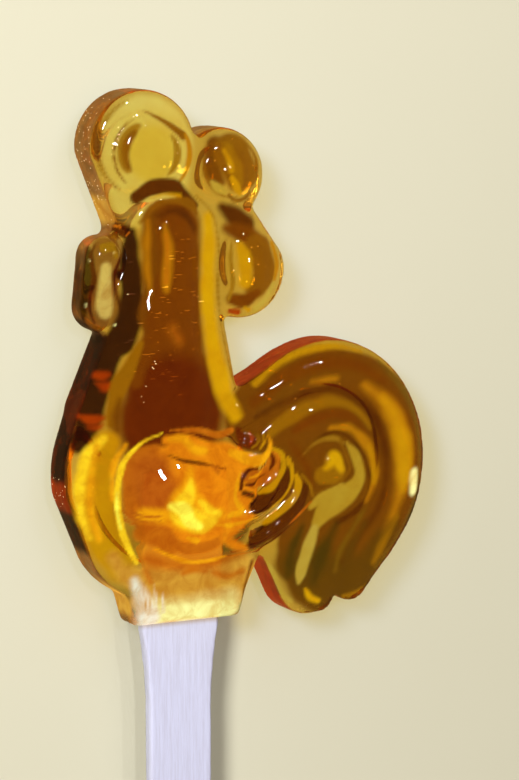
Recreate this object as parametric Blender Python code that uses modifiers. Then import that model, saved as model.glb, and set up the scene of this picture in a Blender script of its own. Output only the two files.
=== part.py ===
"""A clear amber lollipop: a cockerel of cast sugar on a flat wooden stick.

The lollipop lies on its back. +X runs from the breast to the tail, +Y from the stick to the comb and
+Z out of the shown face. Its forms are given in millimetres in the mould's own axes: x from the
stick's centre line, y from the lower edge of the sugar and z from the plane where the two halves of
the mould met. An empty then carries them to metres and stands the flat spots of the back on z = 0.
"""
import math

import bmesh
import bpy
from mathutils import Matrix, Vector

MM = 0.001

# The cast figure. A stroke is a list of (x, y, half width): a band with round ends whose width
# follows its path. A plate is a stroke with upright walls, a ridge is one with an oval section.
SLAB_HALF = 3.5            # half the thickness of the flat plates between the raised forms
SLAB_ROUNDING = 0.9        # rounding where a plate's face meets its wall
REST_DEPTH = 5.4           # depth below the mid-plane of the flat spots that the candy lies on

COMB_FRONT = [(-5.95, 63.6, 7.35), (-5.4, 58.4, 6.4), (-4.4, 53.6, 4.9)]
COMB_BOSS = (-4.7, 62.5, 5.0)
COMB_BOSS_HALF = 4.4
COMB_MIDDLE = [(4.9, 59.7, 6.2)]
COMB_MIDDLE_DOME = ((5.7, 60.0), (4.4, 4.6, 5.2))
COMB_BACK = [(6.2, 52.5, 4.4), (7.9, 47.2, 6.3)]
COMB_BACK_DOME = [(7.4, 54.6, 1.8), (8.6, 50.5, 3.3), (9.1, 46.6, 3.8), (8.4, 44.0, 2.9)]
COMB_BACK_DOME_HALF = 5.2
COMB_ROOT = [(-3.0, 58.0, 5.0), (2.0, 50.0, 5.6), (1.0, 42.0, 4.4)]

WATTLE = [(-10.9, 49.6, 2.7), (-11.1, 43.0, 3.2)]
WATTLE_HALF = 2.3
WATTLE_BUMP = [(-10.9, 49.3, 2.4), (-10.9, 46.7, 1.85), (-11.1, 42.9, 2.7)]
WATTLE_BUMP_HALF = 3.1
WATTLE_ROOT = [(-7.6, 52.4, 2.4), (-8.0, 47.0, 2.6), (-8.4, 41.5, 3.0)]
WATTLE_KNOT = ((-8.7, 52.7), (1.5, 1.4, 3.3))

NECK = [(-3.0, 52.4, 4.3), (-3.1, 45.0, 4.5), (-3.8, 39.5, 5.1), (-4.6, 34.5, 6.4), (-4.9, 29.6, 8.4)]
NECK_HALF = 5.6
NECK_ROUNDING = 3.2
NECK_SWELL = ((-4.8, 37.5), (6.6, 15.5, 6.3))
NECK_COLLAR = [
    (-2.1, 52.3, 4.9), (-2.1, 45.0, 5.1), (-2.6, 39.5, 6.0), (-3.4, 34.5, 8.0), (-3.8, 29.5, 10.4),
]
NECK_COLLAR_HALF = 4.1
NECK_PLATE = [
    (-1.6, 46.0, 6.0), (-2.9, 40.6, 7.6), (-3.1, 36.0, 8.9), (-3.0, 32.2, 9.8), (-3.4, 28.6, 11.6),
]

BREAST = [(-4.6, 26.0, 11.0), (-5.6, 20.5, 11.4), (-4.2, 14.6, 10.2)]
BREAST_BULGE = ((-5.2, 19.6), (11.2, 10.6, 5.2))
BREAST_ROUNDING = 1.4

WING_PLATE = [(-1.6, 18.2, 9.2), (0.6, 18.0, 8.8)]
WING_HALF = 5.0
WING_ROUNDING = 1.4
WING_DOME = ((-0.6, 18.3), (10.6, 9.6, 6.7))
WING_FEATHERS = (
    [(3.0, 10.9, 1.4), (8.6, 11.6, 1.7), (13.2, 14.2, 1.8), (15.6, 17.6, 1.6), (15.7, 20.6, 1.0)],
    [(4.0, 14.6, 1.6), (8.6, 15.3, 1.8), (11.8, 17.6, 1.7), (13.1, 20.3, 1.4), (13.0, 22.8, 0.9)],
    [(4.0, 19.0, 1.8), (7.6, 19.6, 1.9), (9.6, 21.6, 1.7), (10.4, 23.8, 1.3), (9.9, 25.8, 0.8)],
)
WING_FEATHER_HALF = 5.9

TAIL_OUTER = [
    (7.5, 28.8, 2.7), (12.0, 31.0, 2.8), (16.5, 33.5, 2.9), (21.0, 34.4, 3.1), (25.4, 33.0, 3.2),
    (29.0, 29.8, 3.2), (31.3, 25.3, 3.1), (31.9, 20.2, 3.0), (31.0, 15.2, 2.9), (28.6, 10.6, 2.7),
    (26.0, 7.2, 2.5), (24.0, 4.6, 2.5),
]
TAIL_MIDDLE = [
    (9.0, 24.6, 2.4), (14.0, 26.8, 2.6), (19.0, 28.1, 2.9), (23.6, 27.2, 2.5), (26.6, 24.2, 1.9),
    (27.6, 20.2, 1.6), (26.8, 16.4, 1.9), (24.4, 13.0, 2.3), (21.8, 9.6, 2.3), (20.1, 6.0, 2.3),
    (19.2, 3.2, 2.3),
]
TAIL_BUD = [(14.5, 20.0, 1.6), (17.6, 21.6, 2.0), (20.8, 20.6, 2.7), (19.0, 18.0, 1.2)]
TAIL_LOWER = [(17.0, 13.6, 1.0), (15.3, 9.6, 1.3), (15.1, 5.8, 1.5), (17.0, 3.2, 1.3)]
TAIL_FEATHER_HALF = 5.5
TAIL_LOWER_HALF = 4.4
TAIL_WEB = [(13.0, 20.0, 7.0), (20.0, 20.0, 8.0)]
TAIL_FOOT = [(16.0, 14.0, 6.6), (17.0, 9.4, 5.4), (17.6, 5.1, 4.3)]
TAIL_BED = [(28.9, 24.0, 1.2), (29.4, 20.0, 1.2), (28.6, 15.5, 1.3), (26.2, 11.0, 1.5), (23.9, 8.2, 1.2)]

SKIRT = [
    (-10.3, 12.0), (-7.7, 8.4), (-6.7, 5.4), (-6.0, 2.8), (6.5, 3.0), (7.2, 5.6), (9.0, 9.6), (9.0, 12.0),
]
SKIRT_HALF = 3.6
SKIRT_ROUNDING = 1.7       # added all round the outline of its flat face

# The finished surface of the sugar.
VOXEL = 0.5
SMOOTHING = 5              # rounds of smoothing
FACE_SHARE = 0.13          # share of the faces that is kept
SHARP_ANGLE = 40.0         # degrees; an edge that turns more is shown sharp

# The flat birch stick.
STICK_LENGTH = 115.0
STICK_TOP = 21.0           # how far it reaches up inside the sugar
STICK_WIDTH = 8.9
STICK_FLARED = 10.9        # width where it enters the sugar
STICK_FLARE_START = -10.5  # y where the flare begins
STICK_THICKNESS = 2.0
STICK_EDGE = 0.2
CLEARANCE = 0.3            # gap left all round it
POCKET_EDGE = 0.1          # rounding of the edges of the pocket that the gap makes in the sugar

DOME_SEGMENTS = 48
DOME_RINGS = 32
FLARE_STEPS = 6
WELD_REACH = 0.001         # points closer than this become one
CUTTER_REACH = 150.0       # the block that levels the flat spots goes this far every way
STEPS = 8                  # steps between two given points of a stroke
ROUND_STEPS = 16           # steps in the half circle at a stroke's end
FOLD = 0.03                # how far inside its stroke a point of the outline may lie


def stroke_path(stroke):
    """The stroke's points with smooth (Catmull-Rom) steps between them."""
    points = [Vector(p) for p in stroke]
    ends = [2 * points[0] - points[1]] + points + [2 * points[-1] - points[-2]]
    path = []
    for a, b, c, d in zip(ends, ends[1:], ends[2:], ends[3:]):
        for step in range(STEPS):
            t = step / STEPS
            path.append(0.5 * (2 * b + (c - a) * t + (2 * a - 5 * b + 4 * c - d) * t ** 2
                               + (3 * b - a - 3 * c + d) * t ** 3))
    return path + [points[-1]]


def half_turn(centre, radius, start):
    angles = [start + math.pi * step / ROUND_STEPS for step in range(ROUND_STEPS + 1)]
    return [centre + radius * Vector((math.cos(a), math.sin(a))) for a in angles]


def stroke_outline(stroke, inset):
    """The closed outline of a stroke, moved inwards by inset."""
    if len(stroke) == 1:
        x, y, half_width = stroke[0]
        centre = Vector((x, y))
        radius = half_width - inset
        return half_turn(centre, radius, 0)[:-1] + half_turn(centre, radius, math.pi)[:-1]
    path = stroke_path(stroke)
    left, right = [], []
    for before, point, after in zip(path[:1] + path, path, path[1:] + path[-1:]):
        along = (after - before).xy.normalized()
        across = Vector((-along.y, along.x)) * (point.z - inset)
        left.append(point.xy + across)
        right.append(point.xy - across)
    first = (path[1] - path[0]).xy
    last = (path[-1] - path[-2]).xy
    start = half_turn(path[0].xy, path[0].z - inset, math.atan2(first.y, first.x) + math.pi / 2)
    end = half_turn(path[-1].xy, path[-1].z - inset, math.atan2(last.y, last.x) - math.pi / 2)
    outline = start + right[1:-1] + end + left[-2:0:-1]
    return [p for p in outline if all((p - q.xy).length > q.z - inset - FOLD for q in path)]


def mesh_of(obj):
    """The mesh of an object as it is shown, with the object's scale applied. The object is removed."""
    mesh = bpy.data.meshes.new_from_object(obj.evaluated_get(bpy.context.evaluated_depsgraph_get()))
    mesh.transform(obj.matrix_basis)
    bpy.data.objects.remove(obj)
    return mesh


def outline_solid(outline, half_thickness, rounding):
    """A flat outline given its thickness. The rounding adds to the outline."""
    curve = bpy.data.curves.new("outline", "CURVE")
    curve.dimensions = "2D"
    curve.fill_mode = "BOTH"
    curve.extrude = half_thickness - rounding
    curve.bevel_depth = rounding
    curve.bevel_resolution = 4
    spline = curve.splines.new("POLY")
    spline.points.add(len(outline) - 1)
    for point, place in zip(spline.points, outline):
        point.co = (*place, 0, 1)
    spline.use_cyclic_u = True
    obj = bpy.data.objects.new("outline", curve)
    bpy.context.collection.objects.link(obj)
    return mesh_of(obj)


def plate(stroke, half_thickness=SLAB_HALF, rounding=SLAB_ROUNDING):
    return outline_solid(stroke_outline(stroke, rounding), half_thickness, rounding)


def ridge(stroke, half_depth):
    """A stroke with an oval section, as deep as half_depth where the stroke is widest."""
    curve = bpy.data.curves.new("ridge", "CURVE")
    curve.dimensions = "3D"
    curve.bevel_depth = 1.0
    curve.bevel_resolution = 6
    curve.use_fill_caps = True
    path = stroke_path(stroke)
    spline = curve.splines.new("POLY")
    spline.points.add(len(path) - 1)
    for point, (x, y, half_width) in zip(spline.points, path):
        point.co = (x, y, 0, 1)
        point.radius = half_width
    obj = bpy.data.objects.new("ridge", curve)
    bpy.context.collection.objects.link(obj)
    obj.scale.z = half_depth / max(half_width for *_, half_width in stroke)
    bpy.context.view_layer.update()
    return mesh_of(obj)


def dome(centre, radii):
    bm = bmesh.new()
    bmesh.ops.create_uvsphere(bm, u_segments=DOME_SEGMENTS, v_segments=DOME_RINGS, radius=1)
    bmesh.ops.transform(bm, matrix=Matrix.Translation((*centre, 0)) @ Matrix.Diagonal((*radii, 1)),
                        verts=bm.verts)
    mesh = bpy.data.meshes.new("dome")
    bm.to_mesh(mesh)
    bm.free()
    return mesh


def ends_of(stroke, half_depth):
    """Round caps for the two open ends of a ridge."""
    widest = max(half_width for *_, half_width in stroke)
    caps = []
    for x, y, half_width in (stroke[0], stroke[-1]):
        caps.append(dome((x, y), (half_width, half_width, half_depth * half_width / widest)))
    return caps


def feather(stroke, half_depth):
    return [ridge(stroke, half_depth)] + ends_of(stroke, half_depth)


def comb():
    x, y, radius = COMB_BOSS
    return [
        plate(COMB_FRONT),
        plate([(x, y, radius)], COMB_BOSS_HALF, SLAB_ROUNDING / 2),
        plate(COMB_MIDDLE),
        dome(*COMB_MIDDLE_DOME),
        plate(COMB_BACK),
        plate(COMB_ROOT),
    ] + feather(COMB_BACK_DOME, COMB_BACK_DOME_HALF)


def wattle():
    return [
        plate(WATTLE, WATTLE_HALF),
        plate(WATTLE_ROOT, WATTLE_HALF),
        plate(WATTLE_BUMP, WATTLE_BUMP_HALF),
        dome(*WATTLE_KNOT),
    ]


def neck():
    return [
        plate(NECK, NECK_HALF, NECK_ROUNDING),
        dome(*NECK_SWELL),
        plate(NECK_COLLAR, NECK_COLLAR_HALF, SLAB_ROUNDING / 2),
        plate(NECK_PLATE),
    ]


def breast():
    return [plate(BREAST, SLAB_HALF, BREAST_ROUNDING), dome(*BREAST_BULGE)]


def wing():
    forms = [plate(WING_PLATE, WING_HALF, WING_ROUNDING), dome(*WING_DOME)]
    for stroke in WING_FEATHERS:
        forms += feather(stroke, WING_FEATHER_HALF)
    return forms


def tail():
    forms = [plate(stroke) for stroke in (TAIL_OUTER, TAIL_MIDDLE, TAIL_WEB, TAIL_FOOT, TAIL_BED)]
    for stroke in (TAIL_OUTER, TAIL_MIDDLE, TAIL_BUD):
        forms += feather(stroke, TAIL_FEATHER_HALF)
    return forms + feather(TAIL_LOWER, TAIL_LOWER_HALF)


def skirt():
    """The foot of the figure, which ends in a straight hem with rounded corners."""
    return [outline_solid([Vector(p) for p in SKIRT], SKIRT_HALF, SKIRT_ROUNDING)]


def stick_outline(grown):
    """The stick seen from the front: straight, flared up to the sugar, and round at its lower end."""
    bottom = STICK_TOP - STICK_LENGTH
    half = STICK_WIDTH / 2 + grown
    flared = STICK_FLARED / 2 + grown
    side = [(half, bottom + STICK_WIDTH / 2), (half, STICK_FLARE_START)]
    for step in range(1, FLARE_STEPS + 1):
        t = step / FLARE_STEPS
        side.append((half + (flared - half) * t * t, STICK_FLARE_START * (1 - t)))
    side.append((flared, STICK_TOP + grown))
    end = half_turn(Vector((0, bottom + STICK_WIDTH / 2)), half, math.pi)
    return [Vector(p) for p in side] + [Vector((-x, y)) for x, y in reversed(side)] + end[1:-1]


def finish(name, color, roughness, transmission):
    mat = bpy.data.materials.new(name)
    mat.use_nodes = True
    shader = mat.node_tree.nodes["Principled BSDF"]
    shader.inputs["Base Color"].default_value = (*color, 1)
    shader.inputs["Roughness"].default_value = roughness
    shader.inputs["Transmission Weight"].default_value = transmission
    mat.diffuse_color = (*color, 1)
    return mat


def add_mesh(name, mesh, collection, parent, material=None):
    obj = bpy.data.objects.new(name, mesh)
    collection.objects.link(obj)
    obj.parent = parent
    if material:
        mesh.materials.append(material)
    mesh.shade_smooth()
    mesh.set_sharp_from_angle(angle=math.radians(SHARP_ANGLE))
    return obj


def fuse(meshes):
    """All forms as one mesh, still overlapping."""
    bm = bmesh.new()
    for mesh in meshes:
        bm.from_mesh(mesh)
        bpy.data.meshes.remove(mesh)
    joined = bpy.data.meshes.new("candy")
    bm.to_mesh(joined)
    bm.free()
    return joined


def cut(obj, cutter):
    cutter.hide_render = True
    cutter.display_type = "WIRE"
    boolean = obj.modifiers.new(cutter.name, "BOOLEAN")
    boolean.operation = "DIFFERENCE"
    boolean.solver = "EXACT"
    boolean.object = cutter


def weld(mesh):
    bm = bmesh.new()
    bm.from_mesh(mesh)
    bmesh.ops.remove_doubles(bm, verts=bm.verts, dist=WELD_REACH)
    bmesh.ops.recalc_face_normals(bm, faces=bm.faces)
    bm.to_mesh(mesh)
    bm.free()
    return mesh


def block_below(level):
    """A cube whose upper face lies at the level."""
    bm = bmesh.new()
    bmesh.ops.create_cube(bm, size=2 * CUTTER_REACH)
    bmesh.ops.translate(bm, verts=bm.verts, vec=(0, 0, level - CUTTER_REACH))
    mesh = bpy.data.meshes.new("block")
    bm.to_mesh(mesh)
    bm.free()
    return mesh


def stand_on_origin(root, parts):
    """Moves the whole so that its box stands on z = 0 with the origin in the middle of its underside."""
    graph = bpy.context.evaluated_depsgraph_get()
    corners = [
        obj.matrix_world @ Vector(corner)
        for obj in parts.objects if obj.type == "MESH"
        for corner in obj.evaluated_get(graph).bound_box
    ]
    low = Vector(min(corner[i] for corner in corners) for i in range(3))
    high = Vector(max(corner[i] for corner in corners) for i in range(3))
    root.location -= Vector(((low.x + high.x) / 2, (low.y + high.y) / 2, low.z))


def main():
    for obj in list(bpy.data.objects):
        bpy.data.objects.remove(obj)
    parts = bpy.data.collections.new("lollipop")
    cutters = bpy.data.collections.new("cutters")
    for collection in (parts, cutters):
        bpy.context.scene.collection.children.link(collection)
    root = bpy.data.objects.new("root", None)
    parts.objects.link(root)

    sugar = finish("clear amber sugar", (0.80, 0.42, 0.05), 0.05, 1.0)
    birch = finish("birch", (0.82, 0.78, 0.72), 0.6, 0.0)

    stick_mesh = weld(outline_solid(stick_outline(-STICK_EDGE), STICK_THICKNESS / 2, STICK_EDGE))
    add_mesh("stick", stick_mesh, parts, root, birch)

    forms = comb() + wattle() + neck() + breast() + wing() + tail() + skirt()
    candy = add_mesh("candy", fuse(forms), parts, root, sugar)
    remesh = candy.modifiers.new("cast in one", "REMESH")
    remesh.mode = "VOXEL"
    remesh.voxel_size = VOXEL
    soften = candy.modifiers.new("soften", "SMOOTH")
    soften.factor = 0.5
    soften.iterations = SMOOTHING
    thin = candy.modifiers.new("fewer faces", "DECIMATE")
    thin.ratio = FACE_SHARE

    pocket_outline = stick_outline(CLEARANCE - POCKET_EDGE)
    pocket = weld(outline_solid(pocket_outline, STICK_THICKNESS / 2 + CLEARANCE, POCKET_EDGE))
    cut(candy, add_mesh("pocket", pocket, cutters, root))
    cut(candy, add_mesh("flat_spots", block_below(-REST_DEPTH), cutters, root))

    root.scale = (MM, MM, MM)
    stand_on_origin(root, parts)


main()
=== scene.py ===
# A clear amber lollipop, a cockerel of cast sugar on a flat birch stick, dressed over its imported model.
import math
import bmesh
import bpy
import numpy as np
from mathutils import Matrix, Vector, noise


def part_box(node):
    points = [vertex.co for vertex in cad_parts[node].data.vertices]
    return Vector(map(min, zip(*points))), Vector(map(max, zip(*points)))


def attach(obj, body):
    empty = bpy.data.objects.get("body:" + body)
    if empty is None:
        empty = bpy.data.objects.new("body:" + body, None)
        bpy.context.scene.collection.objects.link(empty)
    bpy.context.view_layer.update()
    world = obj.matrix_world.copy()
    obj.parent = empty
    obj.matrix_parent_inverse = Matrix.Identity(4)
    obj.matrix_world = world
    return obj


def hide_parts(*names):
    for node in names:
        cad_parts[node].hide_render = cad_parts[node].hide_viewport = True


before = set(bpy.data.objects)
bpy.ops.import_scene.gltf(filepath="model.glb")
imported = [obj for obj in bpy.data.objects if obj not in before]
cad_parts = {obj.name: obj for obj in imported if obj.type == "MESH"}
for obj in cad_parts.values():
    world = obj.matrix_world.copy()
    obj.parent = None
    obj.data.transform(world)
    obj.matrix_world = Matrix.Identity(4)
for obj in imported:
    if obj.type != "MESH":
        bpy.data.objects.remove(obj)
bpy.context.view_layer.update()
millimetre = 0.001

# The forms below are in millimetres in the mould's own axes: x from the stick's centre line, y from the
# hem of the sugar, z from the plane where the two halves of the mould met. A stroke is a list of
# (x, y, half width): a band with round ends whose width follows its path. A dome is its centre and its
# three radii, and a "half" is half of a form's thickness.
stickSizes = {
    "length": 115.0,
    "top": 21.0,            # how far it reaches up inside the sugar
    "width": 8.9,
    "flaredWidth": 10.9,    # where it enters the sugar
    "flareStart": -10.5,
    "thickness": 2.0,
    "edge": 0.3,            # rounding of its long edges
    "flareSteps": 12,
    "fuzz": 0.06,           # unevenness of the sawn edges
    "fuzzScale": (0.3, 0.5),        # across and along the stick
    "ribs": 0.03,           # height of the grain's ribs
    "ribScale": (2.2, 0.08),
    "ribSeed": 3,
    "voxel": 0.32,
}

stickLow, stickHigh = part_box("stick")
mouldOrigin = Vector((
    (stickLow.x + stickHigh.x) / 2,
    stickHigh.y - stickSizes["top"] * millimetre,
    (stickLow.z + stickHigh.z) / 2,
))


class Wire:
    # one output of a node, so that a sum on it reads as plain maths
    def __init__(self, board, socket):
        self.board = board
        self.socket = socket

    def sibling(self, name):
        # another output of the same node
        return Wire(self.board, self.socket.node.outputs[name])

    def __add__(self, other):
        return self.board.maths("ADD", self, other)

    def __sub__(self, other):
        return self.board.maths("SUBTRACT", self, other)

    def __rsub__(self, other):
        return self.board.maths("SUBTRACT", other, self)

    def __mul__(self, other):
        return self.board.maths("MULTIPLY", self, other)

    __radd__ = __add__
    __rmul__ = __mul__


class Board:
    # a node tree that is wired up from Python
    def __init__(self, tree):
        self.tree = tree

    def add(self, kind, settings=None, sockets=None, out=0):
        node = self.tree.nodes.new(kind)
        for name, value in (settings or {}).items():
            setattr(node, name, value)
        for key, value in (sockets or {}).items():
            if isinstance(value, Wire):
                self.tree.links.new(value.socket, node.inputs[key])
            else:
                node.inputs[key].default_value = value
        return Wire(self, node.outputs[out]) if node.outputs else node

    def maths(self, operation, a, b=0.0):
        return self.add("ShaderNodeMath", {"operation": operation}, {0: a, 1: b})

    def vector(self, operation, a, b):
        return self.add("ShaderNodeVectorMath", {"operation": operation}, {0: a, 1: b})

    def mix(self, share, a, b, blend="MIX"):
        settings = {"data_type": "RGBA", "blend_type": blend}
        return self.add("ShaderNodeMix", settings, {0: share, 6: a, 7: b}, out=2)

    def ramp(self, value, low, high):
        settings = {"interpolation_type": "SMOOTHSTEP"}
        return self.add("ShaderNodeMapRange", settings, {0: value, 1: low, 2: high})

    def noise(self, place, scale, detail, roughness=0.5, distortion=0.0):
        sockets = {"Vector": place, "Scale": scale, "Detail": detail, "Roughness": roughness,
                   "Distortion": distortion}
        return self.add("ShaderNodeTexNoise", {}, sockets)


def newMaterial(name):
    material = bpy.data.materials.new(name)
    material.use_nodes = True
    material.node_tree.nodes.clear()
    return material, Board(material.node_tree)


def mouldPlace(board):
    # the mould's own millimetres, from Object coordinates
    place = board.add("ShaderNodeTexCoord", out="Object")
    settings = {"vector_type": "TEXTURE"}
    sockets = {"Vector": place, "Location": mouldOrigin, "Scale": (millimetre,) * 3}
    return board.add("ShaderNodeMapping", settings, sockets)


# Strokes and the solids made from them

strokeSteps = 10            # steps between two given points of a stroke
roundSteps = 24             # steps in the half circle at a stroke's end
edgeSteps = 6               # steps in the rounding of a plate's edge
foldLimit = 0.02            # how far inside its stroke a point of the outline may lie
spikeAngle = 1.6            # radians; a sharper turn is a fold in the outline


def strokePath(stroke):
    # a smooth curve through the given points, with the half width as its z
    points = [Vector(p) for p in stroke]
    ends = [2 * points[0] - points[1]] + points + [2 * points[-1] - points[-2]]
    path = []
    for a, b, c, d in zip(ends, ends[1:], ends[2:], ends[3:]):
        for step in range(strokeSteps):
            t = step / strokeSteps
            path.append(0.5 * (2 * b + (c - a) * t + (2 * a - 5 * b + 4 * c - d) * t ** 2
                               + (3 * b - a - 3 * c + d) * t ** 3))
    return path + [points[-1]]


def halfTurn(centre, radius, start):
    angles = [start + math.pi * step / roundSteps for step in range(roundSteps + 1)]
    return [centre + radius * Vector((math.cos(a), math.sin(a))) for a in angles]


def withoutSpikes(outline):
    # drops doubled points and those where the outline turns back on itself
    kept = []
    for point, after in zip(outline, outline[1:] + outline[:1]):
        ahead = after - point
        if ahead.length > foldLimit and (not kept or ahead.angle(point - kept[-1]) < spikeAngle):
            kept.append(point)
    return kept


def strokeOutline(stroke, inset):
    if len(stroke) == 1:
        x, y, halfWidth = stroke[0]
        middle, radius = Vector((x, y)), halfWidth - inset
        return halfTurn(middle, radius, 0)[:-1] + halfTurn(middle, radius, math.pi)[:-1]
    path = strokePath(stroke)
    left, right = [], []
    for before, point, after in zip(path[:1] + path, path, path[1:] + path[-1:]):
        along = (after - before).xy.normalized()
        across = Vector((-along.y, along.x)) * (point.z - inset)
        left.append(point.xy + across)
        right.append(point.xy - across)
    first = (path[1] - path[0]).xy
    last = (path[-1] - path[-2]).xy
    start = halfTurn(path[0].xy, path[0].z - inset, math.atan2(first.y, first.x) + math.pi / 2)
    end = halfTurn(path[-1].xy, path[-1].z - inset, math.atan2(last.y, last.x) - math.pi / 2)
    outline = start + right[1:-1] + end + left[-2:0:-1]
    outline = [p for p in outline if all((p - q.xy).length > q.z - inset - foldLimit for q in path)]
    return withoutSpikes(outline)


def takeMesh(obj):
    # the object as it is shown, as a mesh of its own, and the object goes
    mesh = bpy.data.meshes.new_from_object(obj.evaluated_get(bpy.context.evaluated_depsgraph_get()))
    bpy.data.objects.remove(obj)
    return mesh


def newCurve(name, points, closed):
    curve = bpy.data.curves.new(name, "CURVE")
    spline = curve.splines.new("POLY")
    spline.points.add(len(points) - 1)
    for point, place in zip(spline.points, points):
        point.co = (place[0], place[1], 0, 1)
        point.radius = place[2] if len(place) > 2 else 1.0
    spline.use_cyclic_u = closed
    obj = bpy.data.objects.new(name, curve)
    bpy.context.scene.collection.objects.link(obj)
    return obj


def outlineSolid(outline, halfThickness, rounding):
    # a flat outline given its thickness; the rounding adds to the outline
    obj = newCurve("outline", outline, closed=True)
    obj.data.dimensions = "2D"
    obj.data.fill_mode = "BOTH"
    obj.data.extrude = halfThickness - rounding
    obj.data.bevel_depth = rounding
    obj.data.bevel_resolution = edgeSteps
    return takeMesh(obj)


def plate(stroke, halfThickness, rounding):
    return outlineSolid(strokeOutline(stroke, rounding), halfThickness, rounding)


def newTree(name, inputs):
    # a Geometry Nodes tree with named inputs after its geometry
    tree = bpy.data.node_groups.new(name, "GeometryNodeTree")
    tree.interface.new_socket("Geometry", in_out="INPUT", socket_type="NodeSocketGeometry")
    tree.interface.new_socket("Geometry", in_out="OUTPUT", socket_type="NodeSocketGeometry")
    for label, kind in inputs.items():
        tree.interface.new_socket(label, in_out="INPUT", socket_type="NodeSocket" + kind)
    return tree, Board(tree)


def grow(obj, tree, values):
    # runs a tree on an object and gives the result as a plain mesh
    modifier = obj.modifiers.new(tree.name, "NODES")
    modifier.node_group = tree
    for item in tree.interface.items_tree:
        if item.in_out == "INPUT" and item.name in values:
            modifier[item.identifier] = values[item.name]
    mesh = bpy.data.meshes.new_from_object(obj.evaluated_get(bpy.context.evaluated_depsgraph_get()))
    obj.modifiers.remove(modifier)
    return mesh


def finishTree(board, geometry, material):
    real = board.add("GeometryNodeRealizeInstances", {}, {0: geometry})
    painted = board.add("GeometryNodeSetMaterial", {}, {0: real, "Material": material})
    board.add("NodeGroupOutput", {}, {0: painted})


def ridgeTree(material):
    # a stroke with an oval section and round ends, as a feather is pressed into the mould
    tree, board = newTree("pressed ridge", {"Depth share": "Float", "Sides": "Int"})
    stroke = board.add("NodeGroupInput", out="Geometry")
    depth = board.add("NodeGroupInput", out="Depth share")
    sides = board.add("NodeGroupInput", out="Sides")
    section = board.add("GeometryNodeCurvePrimitiveCircle", {}, {"Resolution": sides, "Radius": 1.0})
    radius = board.add("GeometryNodeInputRadius")
    body = board.add("GeometryNodeCurveToMesh", {}, {
        "Curve": stroke, "Profile Curve": section, "Scale": radius, "Fill Caps": True,
    })
    ball = board.add("GeometryNodeMeshUVSphere", {}, {"Segments": sides, "Rings": sides, "Radius": 1.0})
    tips = board.add("GeometryNodeCurveEndpointSelection")
    caps = board.add("GeometryNodeInstanceOnPoints", {}, {
        "Points": stroke, "Selection": tips, "Instance": ball, "Scale": radius,
    })
    both = board.add("GeometryNodeJoinGeometry", {}, {0: body})
    board.tree.links.new(caps.socket, both.socket.node.inputs[0])
    flat = board.add("ShaderNodeCombineXYZ", {}, {0: 1.0, 1: 1.0, 2: depth})
    pressed = board.add("GeometryNodeTransform", {}, {"Geometry": both, "Scale": flat})
    finishTree(board, pressed, material)
    return tree


def softeningTree(material):
    # hot sugar pulls its edges round: a blur of the whole surface, then a stronger one of its faces
    tree, board = newTree("soften", {"Rounds": "Int", "Face rounds": "Int"})
    shape = board.add("NodeGroupInput", out="Geometry")
    place = board.add("GeometryNodeInputPosition")
    settings = {"data_type": "FLOAT_VECTOR"}
    even = board.add("GeometryNodeBlurAttribute", settings, {
        "Value": place, "Iterations": board.add("NodeGroupInput", out="Rounds"),
    })
    rounded = board.add("GeometryNodeSetPosition", {}, {"Geometry": shape, "Position": even})
    tilt = board.add("ShaderNodeSeparateXYZ", {}, {0: board.add("GeometryNodeInputNormal")}, out="Z")
    across = board.add("ShaderNodeSeparateXYZ", {}, {0: place}, out="X")
    level = board.ramp(board.maths("ABSOLUTE", tilt), casting["faceFrom"], casting["faceTo"])
    beside = board.ramp(across, casting["tailFrom"], casting["tailTo"])
    face = level * (beside * (1 - casting["figureShare"]) + casting["figureShare"])
    flowing = board.add("GeometryNodeBlurAttribute", settings, {
        "Value": place, "Iterations": board.add("NodeGroupInput", out="Face rounds"), "Weight": face,
    })
    flowed = board.add("GeometryNodeSetPosition", {}, {"Geometry": rounded, "Position": flowing})
    finishTree(board, flowed, material)
    return tree


def dome(centre, radii):
    bm = bmesh.new()
    segments, rings = casting["domeSegments"], casting["domeRings"]
    bmesh.ops.create_uvsphere(bm, u_segments=segments, v_segments=rings, radius=1)
    place = Matrix.Translation((*centre, 0)) @ Matrix.Diagonal((*radii, 1))
    bmesh.ops.transform(bm, matrix=place, verts=bm.verts)
    mesh = bpy.data.meshes.new("dome")
    bm.to_mesh(mesh)
    bm.free()
    return mesh


def placePiece(name, mesh, material):
    # a finished piece: from the mould's millimetres to its place in metres, with its object at the origin
    mesh.transform(Matrix.Translation(mouldOrigin) @ Matrix.Diagonal((*(millimetre,) * 3, 1)))
    mesh.materials.clear()
    mesh.materials.append(material)
    obj = bpy.data.objects.new(name, mesh)
    bpy.context.scene.collection.objects.link(obj)
    return obj


# The clear sugar

sugarLook = {
    "clearShadow": 0.9,                # share of the light that goes straight through to the table
    "absorbed": (0.97, 0.80, 0.05),    # what the sugar lets through
    "density": 110.0,                  # per metre
    "roughness": 0.0,
    "bending": 1.5,                    # index of refraction
    "reflection": 0.4,                 # 0.5 is that of plain glass
    "causticSize": 2.6,                   # painted caustics: bright streaks of light in the painted glow, their size in millimetres
    "causticNoise": (6.0, 0.6, 0.5),      # their detail, roughness and twist
    "causticFrom": 0.3,
    "causticTo": 0.7,
    "causticDark": (0.82, 0.68, 0.5),
    "causticBright": (1.1, 1.2, 1.2),
    "hemFrom": 2.0,                    # the frosted hem fades out between these heights
    "hemTo": 5.0,
    "frosted": 0.28,                   # roughness where it has gone dull
    "frostNoise": (2.2, 3.0),          # the grain's scale in a millimetre and its detail
    "frostFrom": 0.45,
    "frostTo": 0.65,
    "frostBump": 0.15,
    "frostHeight": 0.0002,
}


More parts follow.
